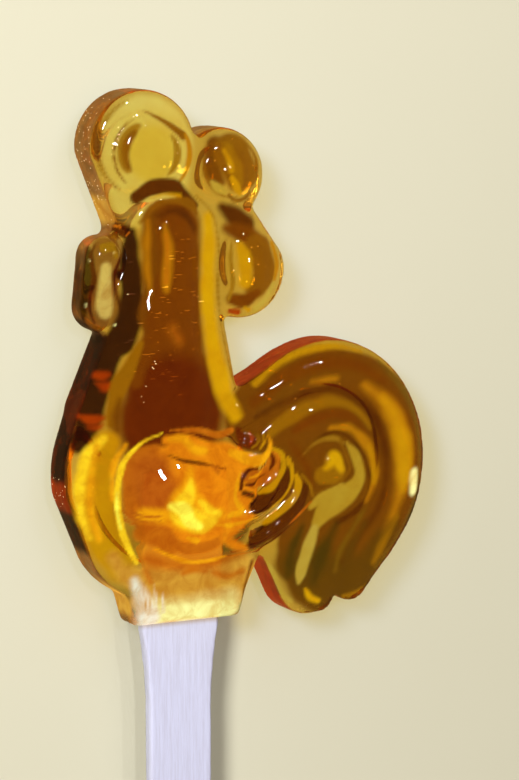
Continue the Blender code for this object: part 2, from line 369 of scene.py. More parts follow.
def amberSugar():
    material, board = newMaterial("amber_sugar")
    place = mouldPlace(board)
    grain = board.noise(place, *sugarLook["frostNoise"])
    height = board.add("ShaderNodeSeparateXYZ", {}, {0: place}, out="Y")
    hem = 1 - board.ramp(height, sugarLook["hemFrom"], sugarLook["hemTo"])
    frost = hem * board.ramp(grain, sugarLook["frostFrom"], sugarLook["frostTo"])
    rough = frost * sugarLook["frosted"] + sugarLook["roughness"]
    bump = board.add("ShaderNodeBump", {}, {
        "Strength": sugarLook["frostBump"], "Distance": sugarLook["frostHeight"], "Height": grain * hem,
    })
    # the painted light and shade laid on by paintSugar: a tint for what gets through and a painted glow
    tint = board.add("ShaderNodeAttribute", {"attribute_name": "tint"}, {}, out="Color")
    glow = board.add("ShaderNodeAttribute", {"attribute_name": "glow"}, {}, out="Color")
    # painted caustics: streaks of light and shade laid over the painted glow
    causticField = board.noise(place, 1 / sugarLook["causticSize"], *sugarLook["causticNoise"])
    causticStreaks = board.ramp(causticField, sugarLook["causticFrom"], sugarLook["causticTo"])
    causticTint = board.mix(causticStreaks, (*sugarLook["causticDark"], 1), (*sugarLook["causticBright"], 1))
    glow = board.mix(1.0, glow, causticTint, "MULTIPLY")
    glass = board.add("ShaderNodeBsdfPrincipled", {}, {
        "Base Color": tint, "Roughness": rough, "IOR": sugarLook["bending"], "Transmission Weight": 1.0,
        "Specular IOR Level": sugarLook["reflection"], "Normal": bump, "Emission Color": glow,
        "Emission Strength": 1.0,
    })
    clear = board.add("ShaderNodeBsdfTransparent", {}, {"Color": (1, 1, 1, 1)})
    shadow = board.add("ShaderNodeLightPath", out="Is Shadow Ray")
    lit = shadow * sugarLook["clearShadow"]
    surface = board.add("ShaderNodeMixShader", {}, {0: lit, 1: glass, 2: clear})
    inside = board.add("ShaderNodeVolumeAbsorption", {}, {
        "Color": (*sugarLook["absorbed"], 1), "Density": sugarLook["density"],
    })
    board.add("ShaderNodeOutputMaterial", {}, {"Surface": surface, "Volume": inside})
    return material


slab = {"half": 3.5, "rounding": 0.9}        # the flat plates and their cast edges

comb = {
    "front": [(-5.95, 63.6, 7.35), (-5.4, 58.4, 6.4), (-4.4, 53.6, 4.9)],
    "boss": [(-4.7, 62.5, 5.0)],
    "bossHalf": 4.4,
    "middle": [(4.9, 59.7, 6.2)],
    "middleDome": ((5.7, 60.0), (4.4, 4.6, 5.2)),
    "back": [(6.2, 52.5, 4.4), (7.9, 47.2, 6.3)],
    "backDome": [(7.4, 54.6, 1.8), (8.6, 50.5, 3.3), (9.1, 46.6, 3.8), (8.4, 44.0, 2.9)],
    "backDomeHalf": 5.2,
    "root": [(-3.0, 58.0, 5.0), (2.0, 50.0, 5.6), (1.0, 42.0, 4.4)],
}

wattle = {
    "plate": [(-10.9, 49.6, 2.7), (-11.1, 43.0, 3.2)],
    "root": [(-7.6, 52.4, 2.4), (-8.0, 47.0, 2.6), (-8.4, 41.5, 3.0)],
    "half": 2.3,
    "bump": [(-10.9, 49.3, 2.4), (-10.9, 46.7, 1.85), (-11.1, 42.9, 2.7)],
    "bumpHalf": 3.1,
    "knot": ((-8.7, 52.7), (1.5, 1.4, 3.3)),
}

neck = {
    "front": [
        (-3.0, 52.4, 4.3), (-3.1, 45.0, 4.5), (-3.8, 39.5, 5.1), (-4.6, 34.5, 6.4), (-4.9, 29.6, 8.4),
    ],
    "half": 5.6,
    "rounding": 3.2,
    "swell": ((-4.8, 37.5), (6.6, 15.5, 6.3)),
    "collar": [
        (-2.1, 52.3, 4.9), (-2.1, 45.0, 5.1), (-2.6, 39.5, 6.0), (-3.4, 34.5, 8.0), (-3.8, 29.5, 10.4),
    ],
    "collarHalf": 4.1,
    "plate": [
        (-1.6, 46.0, 6.0), (-2.9, 40.6, 7.6), (-3.1, 36.0, 8.9), (-3.0, 32.2, 9.8), (-3.4, 28.6, 11.6),
    ],
}

breast = {
    "plate": [(-4.6, 26.0, 11.0), (-5.6, 20.5, 11.4), (-4.2, 14.6, 10.2)],
    "rounding": 1.4,
    "bulge": ((-5.2, 19.6), (11.2, 10.6, 5.2)),
}

wing = {
    "plate": [(-1.6, 18.2, 9.2), (0.6, 18.0, 8.8)],
    "half": 5.0,
    "rounding": 1.4,
    "dome": ((-0.6, 18.3), (10.6, 9.6, 6.7)),
    "feathers": [
        [(3.0, 10.9, 1.4), (8.6, 11.6, 1.7), (13.2, 14.2, 1.8), (15.6, 17.6, 1.6), (15.7, 20.6, 1.0)],
        [(4.0, 14.6, 1.6), (8.6, 15.3, 1.8), (11.8, 17.6, 1.7), (13.1, 20.3, 1.4), (13.0, 22.8, 0.9)],
        [(4.0, 19.0, 1.8), (7.6, 19.6, 1.9), (9.6, 21.6, 1.7), (10.4, 23.8, 1.3), (9.9, 25.8, 0.8)],
    ],
    "featherHalf": 5.9,
}

tail = {
    "outer": [
        (7.5, 28.8, 2.7), (12.0, 31.0, 2.8), (16.5, 33.5, 2.9), (21.0, 34.4, 3.1), (25.4, 33.0, 3.2),
        (29.0, 29.8, 3.2), (31.3, 25.3, 3.1), (31.9, 20.2, 3.0), (31.0, 15.2, 2.9), (28.6, 10.6, 2.7),
        (26.0, 7.2, 2.5), (24.0, 4.6, 2.5),
    ],
    "middle": [
        (9.0, 24.6, 2.4), (14.0, 26.8, 2.6), (19.0, 28.1, 2.9), (23.6, 27.2, 2.5), (26.6, 24.2, 1.9),
        (27.6, 20.2, 1.6), (26.8, 16.4, 1.9), (24.4, 13.0, 2.3), (21.8, 9.6, 2.3), (20.1, 6.0, 2.3),
        (19.2, 3.2, 2.3),
    ],
    "bud": [(14.5, 20.0, 1.6), (17.6, 21.6, 2.0), (20.8, 20.6, 2.7), (19.0, 18.0, 1.2)],
    "lower": [(17.0, 13.6, 1.0), (15.3, 9.6, 1.3), (15.1, 5.8, 1.5), (17.0, 3.2, 1.3)],
    "featherHalf": 5.5,
    "lowerHalf": 4.4,
    "web": [(13.0, 20.0, 7.0), (20.0, 20.0, 8.0)],
    "foot": [(16.0, 14.0, 6.6), (17.0, 9.4, 5.4), (17.6, 5.1, 4.3)],
    "bed": [(28.9, 24.0, 1.2), (29.4, 20.0, 1.2), (28.6, 15.5, 1.3), (26.2, 11.0, 1.5), (23.9, 8.2, 1.2)],
}

skirt = {
    "outline": [(-10.3, 12.0), (-7.7, 8.4), (-6.7, 5.4), (-6.0, 2.8), (6.5, 3.0), (7.2, 5.6), (9.0, 9.6),
                (9.0, 12.0)],
    "half": 3.6,
    "rounding": 1.7,        # added all round the outline of its flat face
}

casting = {
    "voxel": 0.3,
    "rounds": 8,            # blurring all over
    "faceRounds": 90,       # and more on the faces, so that the forms flow into each other
    "faceFrom": 0.3,        # how level a face is where that starts, and where it is full
    "faceTo": 0.75,
    "figureShare": 0.04,    # how much of it the figure gets
    "tailFrom": 10.0,       # from this x it grows, and from the next on the tail gets all of it
    "tailTo": 17.0,
    "restDepth": 5.4,       # the flat spots of the back lie this far below the parting plane
    "ridgeSides": 48,
    "domeSegments": 96,
    "domeRings": 64,
    "waves": 0.018,         # height of the soft waves in the cast faces
    "waveLength": 7.0,
    "pits": 0.07,           # depth of the pits in the side walls
    "pitFade": 1.6,         # how fast they fade as a wall turns level
    "pitLength": 0.8,
    "crumbs": 0.22,         # height of the crumbled sugar along the rims
    "crumbLength": 0.75,
}


# The sugar's painted light and shade: the dark places, bright bands, glints and glows that refraction and
# reflection make in clear sugar, painted into its colour. Each tone is the share of red, green and blue
# light that gets through, and the painted glow (emission) that comes back out of it.
tones = {
    "clear": ((0.96, 0.88, 0.62), (0, 0, 0)),
    "wall": ((0.4, 0.26, 0.08), (0.17, 0.09, 0.022)),
    "redWall": ((0.22, 0.02, 0), (0.25, 0.022, 0)),
    "straw": ((0.69, 0.73, 0.42), (0.16, 0.11, 0.02)),
    "honey": ((1, 1, 0.55), (0.09, 0.08, 0.01)),
    "gold": ((0.78, 0.57, 0.03), (0.16, 0.08, 0)),
    "oliveGold": ((0.61, 0.4, 0.03), (0, 0, 0)),
    "toffee": ((0.61, 0.46, 0.13), (0.02, 0.01, 0)),
    "brightGold": ((0.85, 0.64, 0.03), (0.22, 0.13, 0)),
    "paleHoney": ((1, 1, 0.85), (0.1, 0.12, 0.03)),
    "darkOlive": ((0.14, 0.11, 0.03), (0.006, 0.005, 0)),
    "umber": ((0.2, 0.12, 0.03), (0.15, 0.065, 0.008)),
    "parchment": ((0.15, 0.15, 0.1), (0.5, 0.335, 0.07)),
    "russet": ((0.36, 0.17, 0.02), (0, 0, 0)),
    "strawGold": ((0.64, 0.58, 0.16), (0.14, 0.09, 0.01)),
    "olive": ((0.25, 0.155, 0.03), (0, 0, 0)),
    "amber": ((0.74, 0.47, 0.04), (0.1, 0.035, 0)),
    "brown": ((0.475, 0.26, 0.03), (0, 0, 0)),
    "greyBrown": ((0.3, 0.2, 0.05), (0.03, 0.02, 0)),
    "mahogany": ((0.27, 0.1, 0.005), (0.045, 0.011, 0)),
    "oxblood": ((0.14, 0.03, 0), (0.06, 0.007, 0)),
    "deepBrown": ((0.16, 0.06, 0.005), (0.02, 0.002, 0)),
    "black": ((0.08, 0.03, 0.02), (0, 0, 0)),
    "red": ((0.2, 0.04, 0), (0.26, 0.025, 0)),
    "copper": ((0.1, 0.04, 0.005), (0.48, 0.125, 0.003)),
    "ember": ((0.1, 0.03, 0.005), (0.41, 0.09, 0.004)),
    "glowOrange": ((0.1, 0.05, 0.005), (0.74, 0.22, 0.003)),
    "marigold": ((0.1, 0.08, 0.01), (0.82, 0.34, 0.003)),
    "glowYellow": ((0.1, 0.1, 0.02), (0.92, 0.58, 0.012)),
    "lemon": ((0.1, 0.1, 0.05), (1, 0.95, 0.08)),
    "brass": ((0.05, 0.04, 0.01), (0.6, 0.29, 0.03)),
    "cream": ((0.08, 0.08, 0.06), (0.9, 0.85, 0.33)),
    "frost": ((0.2, 0.18, 0.15), (0.72, 0.68, 0.55)),
    "shine": ((0.3, 0.3, 0.2), (0.86, 0.8, 0.33)),
}

# how level a face is where the walls' painted shade (dark, with a painted reflection as glow) starts and is
# full, and where the strokes are full
wallTone = {"tone": "wall", "from": 0.6, "to": 0.2, "stroke": 0.3}
unevenness = {"reach": 0.3, "length": 2.2}              # how far the edges of the strokes of tone wander


def cutBand(path, shift, halfWidth):
    # a band beside a path: shifted by a share of the path's own half width, narrow at both ends
    points = []
    for index, (before, point, after) in enumerate(zip(path[:1] + path, path, path[1:] + path[-1:])):
        along = (after - before).xy.normalized()
        place = point.xy + Vector((-along.y, along.x)) * point.z * shift
        points.append((*place, halfWidth * math.sin(math.pi * (index + 1) / (len(path) + 1)) ** 0.5))
    return points


def band(form, shift, halfWidth, start=0, stop=None):
    # along one of the forms, from one of its given points to another; a positive shift is to its left
    last = len(form) - 1 if stop is None else stop
    return cutBand(strokePath(form)[int(start * strokeSteps):int(last * strokeSteps) + 1], shift, halfWidth)


def arc(centre, radius, halfWidth, start, stop):
    # round a centre, between two angles in degrees
    angles = [math.radians(start + (stop - start) * step / roundSteps) for step in range(roundSteps + 1)]
    path = [Vector((centre[0] + radius * math.cos(a), centre[1] + radius * math.sin(a), 0)) for a in angles]
    return cutBand(path, 0, halfWidth)


def patch(*stroke):
    return strokePath(stroke) if len(stroke) > 1 else stroke


# Soft strokes of painted light and shade, with the width of their soft edge: dark places, bright bands,
# glints and glows that the sugar's refraction makes. Each lies over those before it.
combTones = [
    ("paleHoney", 1.2, patch((-5.95, 63.6, 6.6), (-5.4, 58.6, 5.6))),
    ("honey", 1.6, patch((-5.3, 62.8, 3.6))),
    ("toffee", 0.6, arc((-5.95, 63.6), 6.4, 0.4, 112, 236)),
    ("toffee", 0.5, arc((-5.3, 62.8), 4.0, 0.7, 114, 214)),
    ("brown", 0.6, arc((-5.3, 62.8), 3.6, 0.55, 128, 216)),
    ("brown", 0.35, arc((-5.3, 62.8), 5.0, 0.22, 120, 226)),
    ("brown", 0.35, patch((-6.0, 68.2, 0.1), (-3.8, 67.0, 0.3), (-2.2, 66.0, 0.45), (-0.9, 65.0, 0.6))),
    ("toffee", 0.4, arc((-5.3, 62.8), 3.5, 0.5, -52, 40)),
    ("amber", 0.5, arc((-5.3, 62.8), 5.4, 0.5, -42, 26)),
    ("deepBrown", 0.5, patch((-7.2, 57.2, 0.9), (-5.6, 58.3, 1.1), (-3.8, 58.6, 1.1), (-2.0, 58.4, 1.0),
        (-0.6, 57.4, 0.8), (1.0, 56.0, 0.4))),
    ("brown", 0.6, patch((-1.3, 56.6, 0.6), (0.2, 56.2, 0.6), (1.0, 55.0, 0.3))),
    ("oliveGold", 0.4, patch((-4.4, 56.5, 0.3), (-3.6, 56.6, 0.3))),
    ("russet", 0.8, patch((3.8, 63.6, 1.2), (3.2, 60.8, 1.0), (4.0, 58.8, 0.8))),
    ("brown", 0.8, patch((6.2, 62.4, 2.7), (7.2, 60.0, 2.6))),
    ("oliveGold", 1.0, patch((5.6, 63.0, 0.7), (6.4, 60.8, 0.8), (7.0, 58.8, 0.6))),
    ("gold", 0.7, patch((5.0, 62.8, 0.2), (5.4, 61.6, 0.4), (5.5, 60.4, 0.3))),
    ("brown", 0.4, arc((6.4, 60.9), 4.1, 0.25, 140, 280)),
    ("straw", 0.4, patch((3.2, 58.9, 0.2), (3.9, 58.2, 0.55), (4.9, 57.5, 0.35))),
    ("gold", 0.4, patch((5.6, 59.4, 0.3), (6.6, 58.0, 0.5), (7.3, 57.2, 0.3))),
    ("brown", 0.4, patch((5.6, 57.2, 0.2), (6.6, 56.4, 0.3), (8.0, 56.6, 0.3), (8.8, 57.4, 0.2))),
    ("brown", 0.4, arc((6.0, 60.6), 3.9, 0.3, -44, 50)),
    ("deepBrown", 1.0, patch((4.9, 55.6, 0.6), (6.4, 54.6, 1.3), (8.2, 53.4, 1.3))),
    ("mahogany", 1.2, patch((5.4, 52.8, 0.6), (8.0, 51.8, 1.3), (10.4, 50.6, 1.1))),
    ("brown", 0.9, patch((9.6, 50.0, 2.0), (10.4, 47.4, 2.1), (9.6, 45.0, 1.6))),
    ("mahogany", 0.6, patch((6.2, 43.6, 0.8), (8.0, 43.2, 0.9), (9.6, 44.2, 0.6))),
    ("gold", 0.8, patch((7.2, 50.6, 0.5), (7.7, 48.4, 0.9), (7.8, 45.8, 0.7))),
    ("toffee", 0.3, patch((6.2, 51.0, 0.15), (6.0, 48.6, 0.3), (6.3, 45.6, 0.3), (5.8, 43.6, 0.3))),
    ("amber", 0.4, patch((12.2, 50.6, 0.3), (12.8, 48.0, 0.4), (12.4, 45.8, 0.2))),
    ("straw", 0.5, patch((12.3, 45.4, 0.2), (11.2, 43.4, 0.4), (9.8, 42.2, 0.4))),
    ("red", 0.4, patch((6.0, 42.0, 0.3), (7.2, 41.8, 0.4))),
    ("gold", 0.3, patch((8.1, 42.3, 0.2), (8.7, 42.0, 0.3))),
]

wattleTones = [
    ("straw", 0.3, patch((-9.2, 51.6, 0.3), (-8.9, 50.0, 0.3), (-9.3, 48.2, 0.3), (-9.4, 45.0, 0.3),
        (-9.4, 42.0, 0.3), (-10.2, 40.6, 0.2))),
    ("umber", 0.5, patch((-11.1, 50.4, 1.8), (-11.3, 46.6, 1.8), (-11.6, 43.0, 2.3))),
    ("parchment", 0.6, patch((-11.2, 48.3, 0.6), (-11.3, 46.0, 0.85), (-11.5, 43.8, 1.1),
        (-11.4, 42.6, 0.8))),
    ("oliveGold", 0.4, patch((-11.4, 50.8, 0.6), (-10.2, 50.9, 0.5), (-9.8, 49.8, 0.3))),
    ("darkOlive", 0.5, patch((-13.2, 50.8, 0.3), (-13.4, 47.2, 0.6), (-14.0, 44.0, 0.5),
        (-14.1, 41.6, 0.4))),
    ("deepBrown", 0.3, patch((-12.4, 51.2, 0.1), (-13.0, 50.0, 0.15), (-12.9, 48.5, 0.2),
        (-12.7, 46.8, 0.3), (-13.2, 44.8, 0.2), (-13.3, 42.8, 0.15), (-12.7, 41.2, 0.1))),
    ("deepBrown", 0.3, patch((-9.7, 50.8, 0.1), (-9.2, 49.8, 0.12), (-9.6, 48.5, 0.2), (-10.1, 47.2, 0.3),
        (-10.0, 45.3, 0.2), (-9.6, 43.3, 0.12), (-9.5, 41.6, 0.1))),
    ("deepBrown", 0.4, patch((-9.9, 53.5, 0.5), (-8.6, 52.8, 0.8))),
    ("black", 0.7, patch((-7.9, 52.8, 0.6), (-8.0, 49.4, 1.1), (-8.1, 46.0, 1.3), (-8.4, 42.4, 1.4),
        (-9.8, 38.6, 1.5))),
    ("black", 0.8, patch((-10.6, 38.0, 1.3), (-12.0, 34.6, 1.3), (-13.4, 31.0, 1.4), (-14.3, 27.6, 1.4),
        (-15.4, 25.4, 0.9))),
    ("black", 0.4, patch((-9.1, 47.3, 0.8))),
    # painted glints along the wattle's rim
    ("cream", 0.2, patch((-13.2, 49.2, 0.08))),
    ("cream", 0.2, patch((-10.0, 50.1, 0.12))),
    ("cream", 0.2, patch((-13.7, 43.5, 0.12))),
    ("cream", 0.2, patch((-10.2, 41.0, 0.1))),
    ("copper", 0.15, patch((-9.7, 53.6, 0.1), (-9.2, 53.4, 0.14))),
    ("copper", 0.15, patch((-8.4, 52.4, 0.1), (-8.1, 52.8, 0.1))),
    ("red", 0.8, patch((-13.4, 34.9, 0.15), (-12.4, 34.4, 0.5), (-11.4, 34.7, 0.2))),
    ("red", 0.8, patch((-12.8, 33.5, 0.2), (-11.9, 33.1, 0.6), (-11.2, 33.5, 0.2))),
    ("red", 0.8, patch((-14.8, 29.3, 0.2), (-13.6, 28.9, 0.6), (-12.3, 29.2, 0.2))),
    ("red", 0.8, patch((-14.0, 27.9, 0.15), (-13.0, 27.9, 0.35), (-12.4, 28.3, 0.1))),
]

neckTones = [
    ("russet", 0.9, patch((-3.2, 53.4, 3.5), (-3.2, 47.0, 3.7), (-3.5, 42.0, 4.2))),
    ("mahogany", 1.5, patch((-1.8, 53.4, 3.2), (-1.7, 47.0, 3.2), (-2.3, 42.0, 3.9), (-2.9, 37.0, 5.0),
        (-3.1, 33.6, 6.0))),
    ("oxblood", 3.0, patch((-3.0, 32.6, 3.6), (-3.2, 30.0, 7.0), (-3.0, 28.6, 8.0))),
    ("amber", 0.9, patch((-6.0, 54.2, 0.2), (-6.2, 51.0, 0.35), (-6.2, 48.0, 0.35), (-6.1, 45.0, 0.2))),
    ("mahogany", 0.9, patch((-5.0, 47.4, 0.2), (-5.2, 45.0, 0.4), (-6.6, 40.0, 0.5), (-7.0, 37.0, 0.6),
        (-8.2, 33.6, 0.7))),
    ("oliveGold", 0.6, patch((-7.6, 38.6, 0.3), (-8.8, 36.0, 0.8), (-10.2, 33.4, 1.0), (-11.2, 30.4, 0.8),
        (-11.4, 28.4, 0.6))),
    ("russet", 1.2, patch((-10.4, 31.4, 0.3), (-10.8, 29.4, 0.6), (-10.8, 27.6, 0.5))),
    ("deepBrown", 1.2, patch((-4.6, 54.8, 0.2), (-2.8, 55.4, 0.4), (-0.8, 54.8, 0.5), (0.4, 53.0, 0.3))),
    ("amber", 1.0, patch((-4.0, 53.6, 0.3), (-3.7, 50.5, 0.7), (-3.8, 47.5, 0.7), (-3.9, 45.4, 0.3))),
    ("copper", 1.2, patch((-3.9, 52.6, 0.05), (-3.8, 50.0, 0.2), (-3.9, 46.4, 0.1))),
    ("copper", 3.4, patch((-3.2, 40.2, 0.1), (-2.4, 39.0, 0.2))),
    ("brown", 0.5, patch((-6.8, 54.0, 0.2), (-4.6, 56.2, 0.3), (-1.6, 56.6, 0.3), (0.8, 55.4, 0.3))),
    ("gold", 0.6, patch((-5.4, 57.0, 0.1), (-3.4, 57.5, 0.2), (-1.2, 57.3, 0.2))),
    ("brightGold", 1.1, patch((2.8, 54.4, 0.7), (2.9, 51.0, 1.0), (2.6, 45.0, 1.1), (3.1, 40.0, 1.1),
        (3.8, 35.6, 1.3), (4.7, 31.8, 1.3), (6.4, 28.2, 0.9))),
    ("oliveGold", 0.6, patch((1.2, 57.2, 0.1), (3.6, 54.4, 0.12), (4.4, 50.0, 0.12), (4.2, 45.0, 0.12),
        (4.7, 40.4, 0.12), (5.6, 36.4, 0.12), (6.8, 32.2, 0.1))),
]

wingTones = [
    # the breast beside the wing, from its rim inwards
    ("gold", 1.2, patch((-12.0, 25.6, 1.8), (-13.2, 20.0, 2.2), (-12.0, 14.0, 2.4), (-9.6, 9.6, 2.2))),
    ("glowYellow", 0.9, patch((-12.3, 26.4, 0.4), (-14.2, 24.2, 0.9), (-15.2, 20.4, 0.8),
        (-15.0, 16.8, 0.6), (-13.8, 13.4, 0.3))),
    ("marigold", 1.4, patch((-13.0, 25.4, 0.3), (-13.8, 21.0, 0.4), (-13.7, 17.0, 0.6),
        (-12.6, 13.4, 0.4))),
    ("gold", 0.9, patch((-11.4, 25.6, 0.4), (-12.1, 21.6, 0.6), (-12.0, 17.0, 0.6), (-11.2, 13.0, 0.6))),
    ("marigold", 0.7, patch((-9.6, 25.6, 0.3), (-10.9, 22.4, 0.4), (-11.0, 18.6, 0.3))),
    # the dome
    ("copper", 0.8, patch((-6.0, 21.8, 3.8), (-5.4, 18.4, 4.4))),
    ("glowOrange", 0.8, patch((-1.0, 18.5, 7.4), (3.0, 18.6, 6.6))),
    ("ember", 2.6, patch((-6.2, 21.6, 3.0), (-5.6, 19.2, 3.2))),
    ("marigold", 1.2, patch((-7.0, 16.2, 0.9), (-4.8, 16.0, 1.0))),
    ("ember", 0.4, arc((-6.0, 20.5), 4.5, 0.15, 228, 285)),
    ("ember", 0.4, arc((-6.0, 20.5), 5.2, 0.18, 220, 282)),
    ("ember", 0.4, arc((-6.0, 20.5), 5.9, 0.15, 214, 276)),
    ("copper", 0.9, patch((-7.2, 13.9, 1.2), (-4.6, 13.2, 1.5), (-3.4, 11.4, 1.0))),
    ("glowYellow", 0.3, patch((-4.6, 26.8, 0.15), (-7.4, 25.8, 0.25), (-9.3, 23.8, 0.35),
        (-10.4, 20.4, 0.4), (-10.4, 17.2, 0.4), (-9.6, 14.0, 0.4), (-8.4, 11.4, 0.4), (-7.4, 9.8, 0.3))),
    ("lemon", 0.3, patch((-10.5, 19.4, 0.1), (-10.5, 17.0, 0.2), (-9.9, 14.6, 0.15))),
    ("glowOrange", 0.6, patch((-4.0, 25.9, 0.7), (-1.0, 25.7, 0.7), (2.0, 24.6, 0.6), (5.0, 23.4, 0.5),
        (8.6, 22.6, 0.5))),
    ("marigold", 0.8, patch((-3.6, 26.0, 0.4), (-1.6, 25.9, 0.4), (0.0, 24.4, 0.5), (1.6, 24.2, 0.4))),
    ("copper", 0.4, patch((-3.4, 27.2, 0.2), (0.6, 26.9, 0.4), (3.6, 26.0, 0.5), (6.0, 26.4, 0.4))),
    ("mahogany", 0.35, patch((-3.6, 23.9, 0.1), (-1.6, 23.1, 0.25), (1.2, 22.5, 0.25), (4.4, 21.6, 0.15))),
    ("marigold", 1.2, patch((-0.8, 21.8, 0.4), (-1.4, 19.4, 1.2), (-1.6, 16.8, 2.6), (1.2, 15.4, 1.8),
        (3.4, 15.6, 0.9))),
    ("glowYellow", 0.7, patch((-0.9, 20.6, 0.3), (-1.4, 18.6, 0.9), (-2.2, 16.6, 1.6), (0.6, 14.8, 1.3),
        (2.6, 15.0, 0.6))),
    ("lemon", 0.6, patch((-3.6, 17.4, 0.5), (-2.0, 16.8, 0.9), (-1.0, 15.2, 0.8), (0.6, 14.3, 0.3))),
    ("glowYellow", 0.6, patch((0.2, 17.8, 0.2), (1.6, 16.6, 0.5), (3.2, 15.8, 0.5))),
    ("copper", 0.6, patch((2.4, 22.2, 0.3), (3.2, 21.4, 0.4))),
    ("marigold", 0.4, patch((6.9, 21.4, 0.1), (6.0, 19.6, 0.2), (5.9, 17.6, 0.3), (6.8, 15.9, 0.4),
        (5.0, 15.4, 0.3))),
    ("copper", 0.5, patch((-3.2, 12.9, 0.5), (-1.2, 11.5, 0.8), (1.8, 11.4, 0.8), (4.4, 12.4, 0.6))),
    ("marigold", 0.3, patch((-1.0, 12.9, 0.2), (0.4, 12.4, 0.4))),
    ("glowOrange", 0.9, patch((4.2, 12.6, 0.4), (5.8, 11.4, 0.6), (7.6, 10.6, 0.5))),
    ("marigold", 0.3, patch((3.2, 14.3, 0.2), (5.6, 14.1, 0.25), (9.0, 14.8, 0.15))),
    # the curled tips of its feathers, the lowest first
    ("deepBrown", 0.4, patch((8.6, 11.4, 0.9), (10.6, 12.2, 1.4), (13.0, 14.0, 1.5), (15.4, 16.2, 1.2),
        (16.8, 18.2, 0.6))),
    ("oliveGold", 0.25, patch((16.2, 19.8, 0.15), (17.4, 18.4, 0.2), (17.9, 16.8, 0.15))),
    ("copper", 0.3, patch((17.6, 16.1, 0.1), (16.2, 15.0, 0.18), (14.2, 13.6, 0.1))),
    ("gold", 0.3, patch((15.4, 19.8, 0.3), (15.6, 18.6, 0.55), (14.8, 17.1, 0.5), (13.2, 15.7, 0.45),
        (11.6, 14.6, 0.4), (10.4, 13.8, 0.2))),
    ("deepBrown", 0.3, patch((8.8, 16.2, 0.9), (10.6, 17.0, 1.2), (12.8, 18.6, 1.2), (14.0, 20.6, 0.7),
        (13.9, 21.8, 0.2))),
    ("gold", 0.2, patch((14.3, 22.0, 0.3), (14.8, 20.6, 0.35), (14.6, 19.0, 0.22), (13.6, 17.4, 0.16),
        (12.0, 16.1, 0.14), (10.0, 15.2, 0.12))),
    ("copper", 0.5, patch((7.6, 20.6, 0.8), (9.2, 19.8, 1.3), (11.4, 20.6, 1.2), (12.2, 22.2, 1.0))),
    ("gold", 0.3, patch((12.0, 23.6, 0.15), (13.3, 22.8, 0.3), (13.6, 21.2, 0.35), (12.6, 19.6, 0.35),
        (11.2, 18.4, 0.35), (9.8, 17.9, 0.25))),
    ("oxblood", 0.3, patch((11.8, 22.9, 0.15), (12.1, 21.9, 0.4), (11.6, 20.9, 0.2))),
    ("oxblood", 0.3, patch((6.6, 18.8, 0.25), (6.9, 20.2, 0.3), (8.0, 21.2, 0.25), (9.2, 21.2, 0.12))),
    ("oxblood", 0.3, patch((7.2, 19.3, 0.15), (8.6, 19.3, 0.25), (9.6, 20.0, 0.2), (10.8, 20.2, 0.12))),
    ("mahogany", 0.5, patch((7.2, 18.2, 0.4), (8.6, 17.7, 0.4))),
    ("marigold", 0.25, patch((7.8, 20.2, 0.1), (9.0, 20.4, 0.2), (10.0, 21.0, 0.12))),
    ("marigold", 0.4, patch((5.5, 23.6, 0.5), (8.0, 22.6, 0.8), (10.0, 22.3, 0.7), (11.2, 23.1, 0.4),
        (11.5, 24.3, 0.25), (11.0, 25.4, 0.12))),
    ("oxblood", 0.4, patch((7.0, 26.4, 0.4), (7.8, 25.0, 0.8), (9.0, 24.6, 0.9))),
    ("red", 0.25, patch((8.6, 26.0, 0.1), (8.8, 25.2, 0.18), (8.5, 24.4, 0.1))),
    ("oliveGold", 0.25, patch((9.6, 25.6, 0.15), (9.6, 24.6, 0.25), (8.9, 23.9, 0.15))),
    ("gold", 0.25, patch((10.4, 25.6, 0.1), (10.5, 24.6, 0.22), (10.0, 23.8, 0.12))),
]

skirtTones = [
    ("brass", 1.6, patch((-10.6, 10.6, 0.8), (-8.8, 8.4, 1.2), (-3.0, 6.6, 2.2), (3.0, 6.4, 2.2),
        (8.0, 7.6, 2.2))),
    ("brass", 0.8, patch((-7.0, 4.6, 1.2), (0.0, 4.6, 1.8), (7.2, 4.8, 1.6))),
    ("copper", 1.8, patch((-6.4, 10.4, 0.6), (-3.0, 9.4, 0.7), (1.0, 9.0, 0.8), (4.4, 9.2, 0.7),
        (7.4, 10.0, 0.6))),
    ("marigold", 0.45, patch((-5.4, 11.7, 0.1), (-3.4, 10.7, 0.25), (-0.6, 9.6, 0.3), (2.4, 9.4, 0.3),
        (5.0, 9.8, 0.2))),
    ("copper", 1.0, patch((-0.8, 7.9, 0.2), (0.6, 8.3, 0.4), (2.4, 7.9, 0.3))),
    ("copper", 1.2, patch((-6.2, 8.6, 0.2), (-5.4, 7.2, 0.3))),
    ("copper", 1.2, patch((3.6, 7.6, 0.3), (5.6, 7.0, 0.5), (7.6, 7.6, 0.4))),
    # painted glow: a bright band along the hem
    ("cream", 3.4, patch((-5.0, 3.2, 1.0), (0.0, 3.0, 1.1), (5.8, 3.4, 1.4))),
    ("cream", 0.9, patch((-4.0, 2.5, 1.1), (1.0, 2.5, 1.2), (6.0, 2.6, 1.1))),
    # the frosted hem: the sugar's own whitish frost, given as painted glow, with painted glowing streaks
    # beside it
    ("frost", 1.2, patch((-7.7, 7.4, 0.3), (-6.6, 4.8, 1.0), (-5.7, 2.4, 1.5))),
    ("frost", 0.4, patch((-4.9, 6.6, 0.05), (-4.6, 3.2, 0.15))),
    ("frost", 0.4, patch((-3.8, 5.4, 0.05), (-3.6, 3.0, 0.12))),
    ("brass", 0.3, patch((-6.5, 6.6, 0.05), (-6.0, 3.4, 0.12))),
    ("brass", 0.3, patch((-5.7, 5.4, 0.05), (-5.4, 2.8, 0.1))),
    ("toffee", 0.7, patch((9.2, 8.6, 0.2), (8.4, 5.6, 0.3), (8.2, 3.4, 0.2))),
]

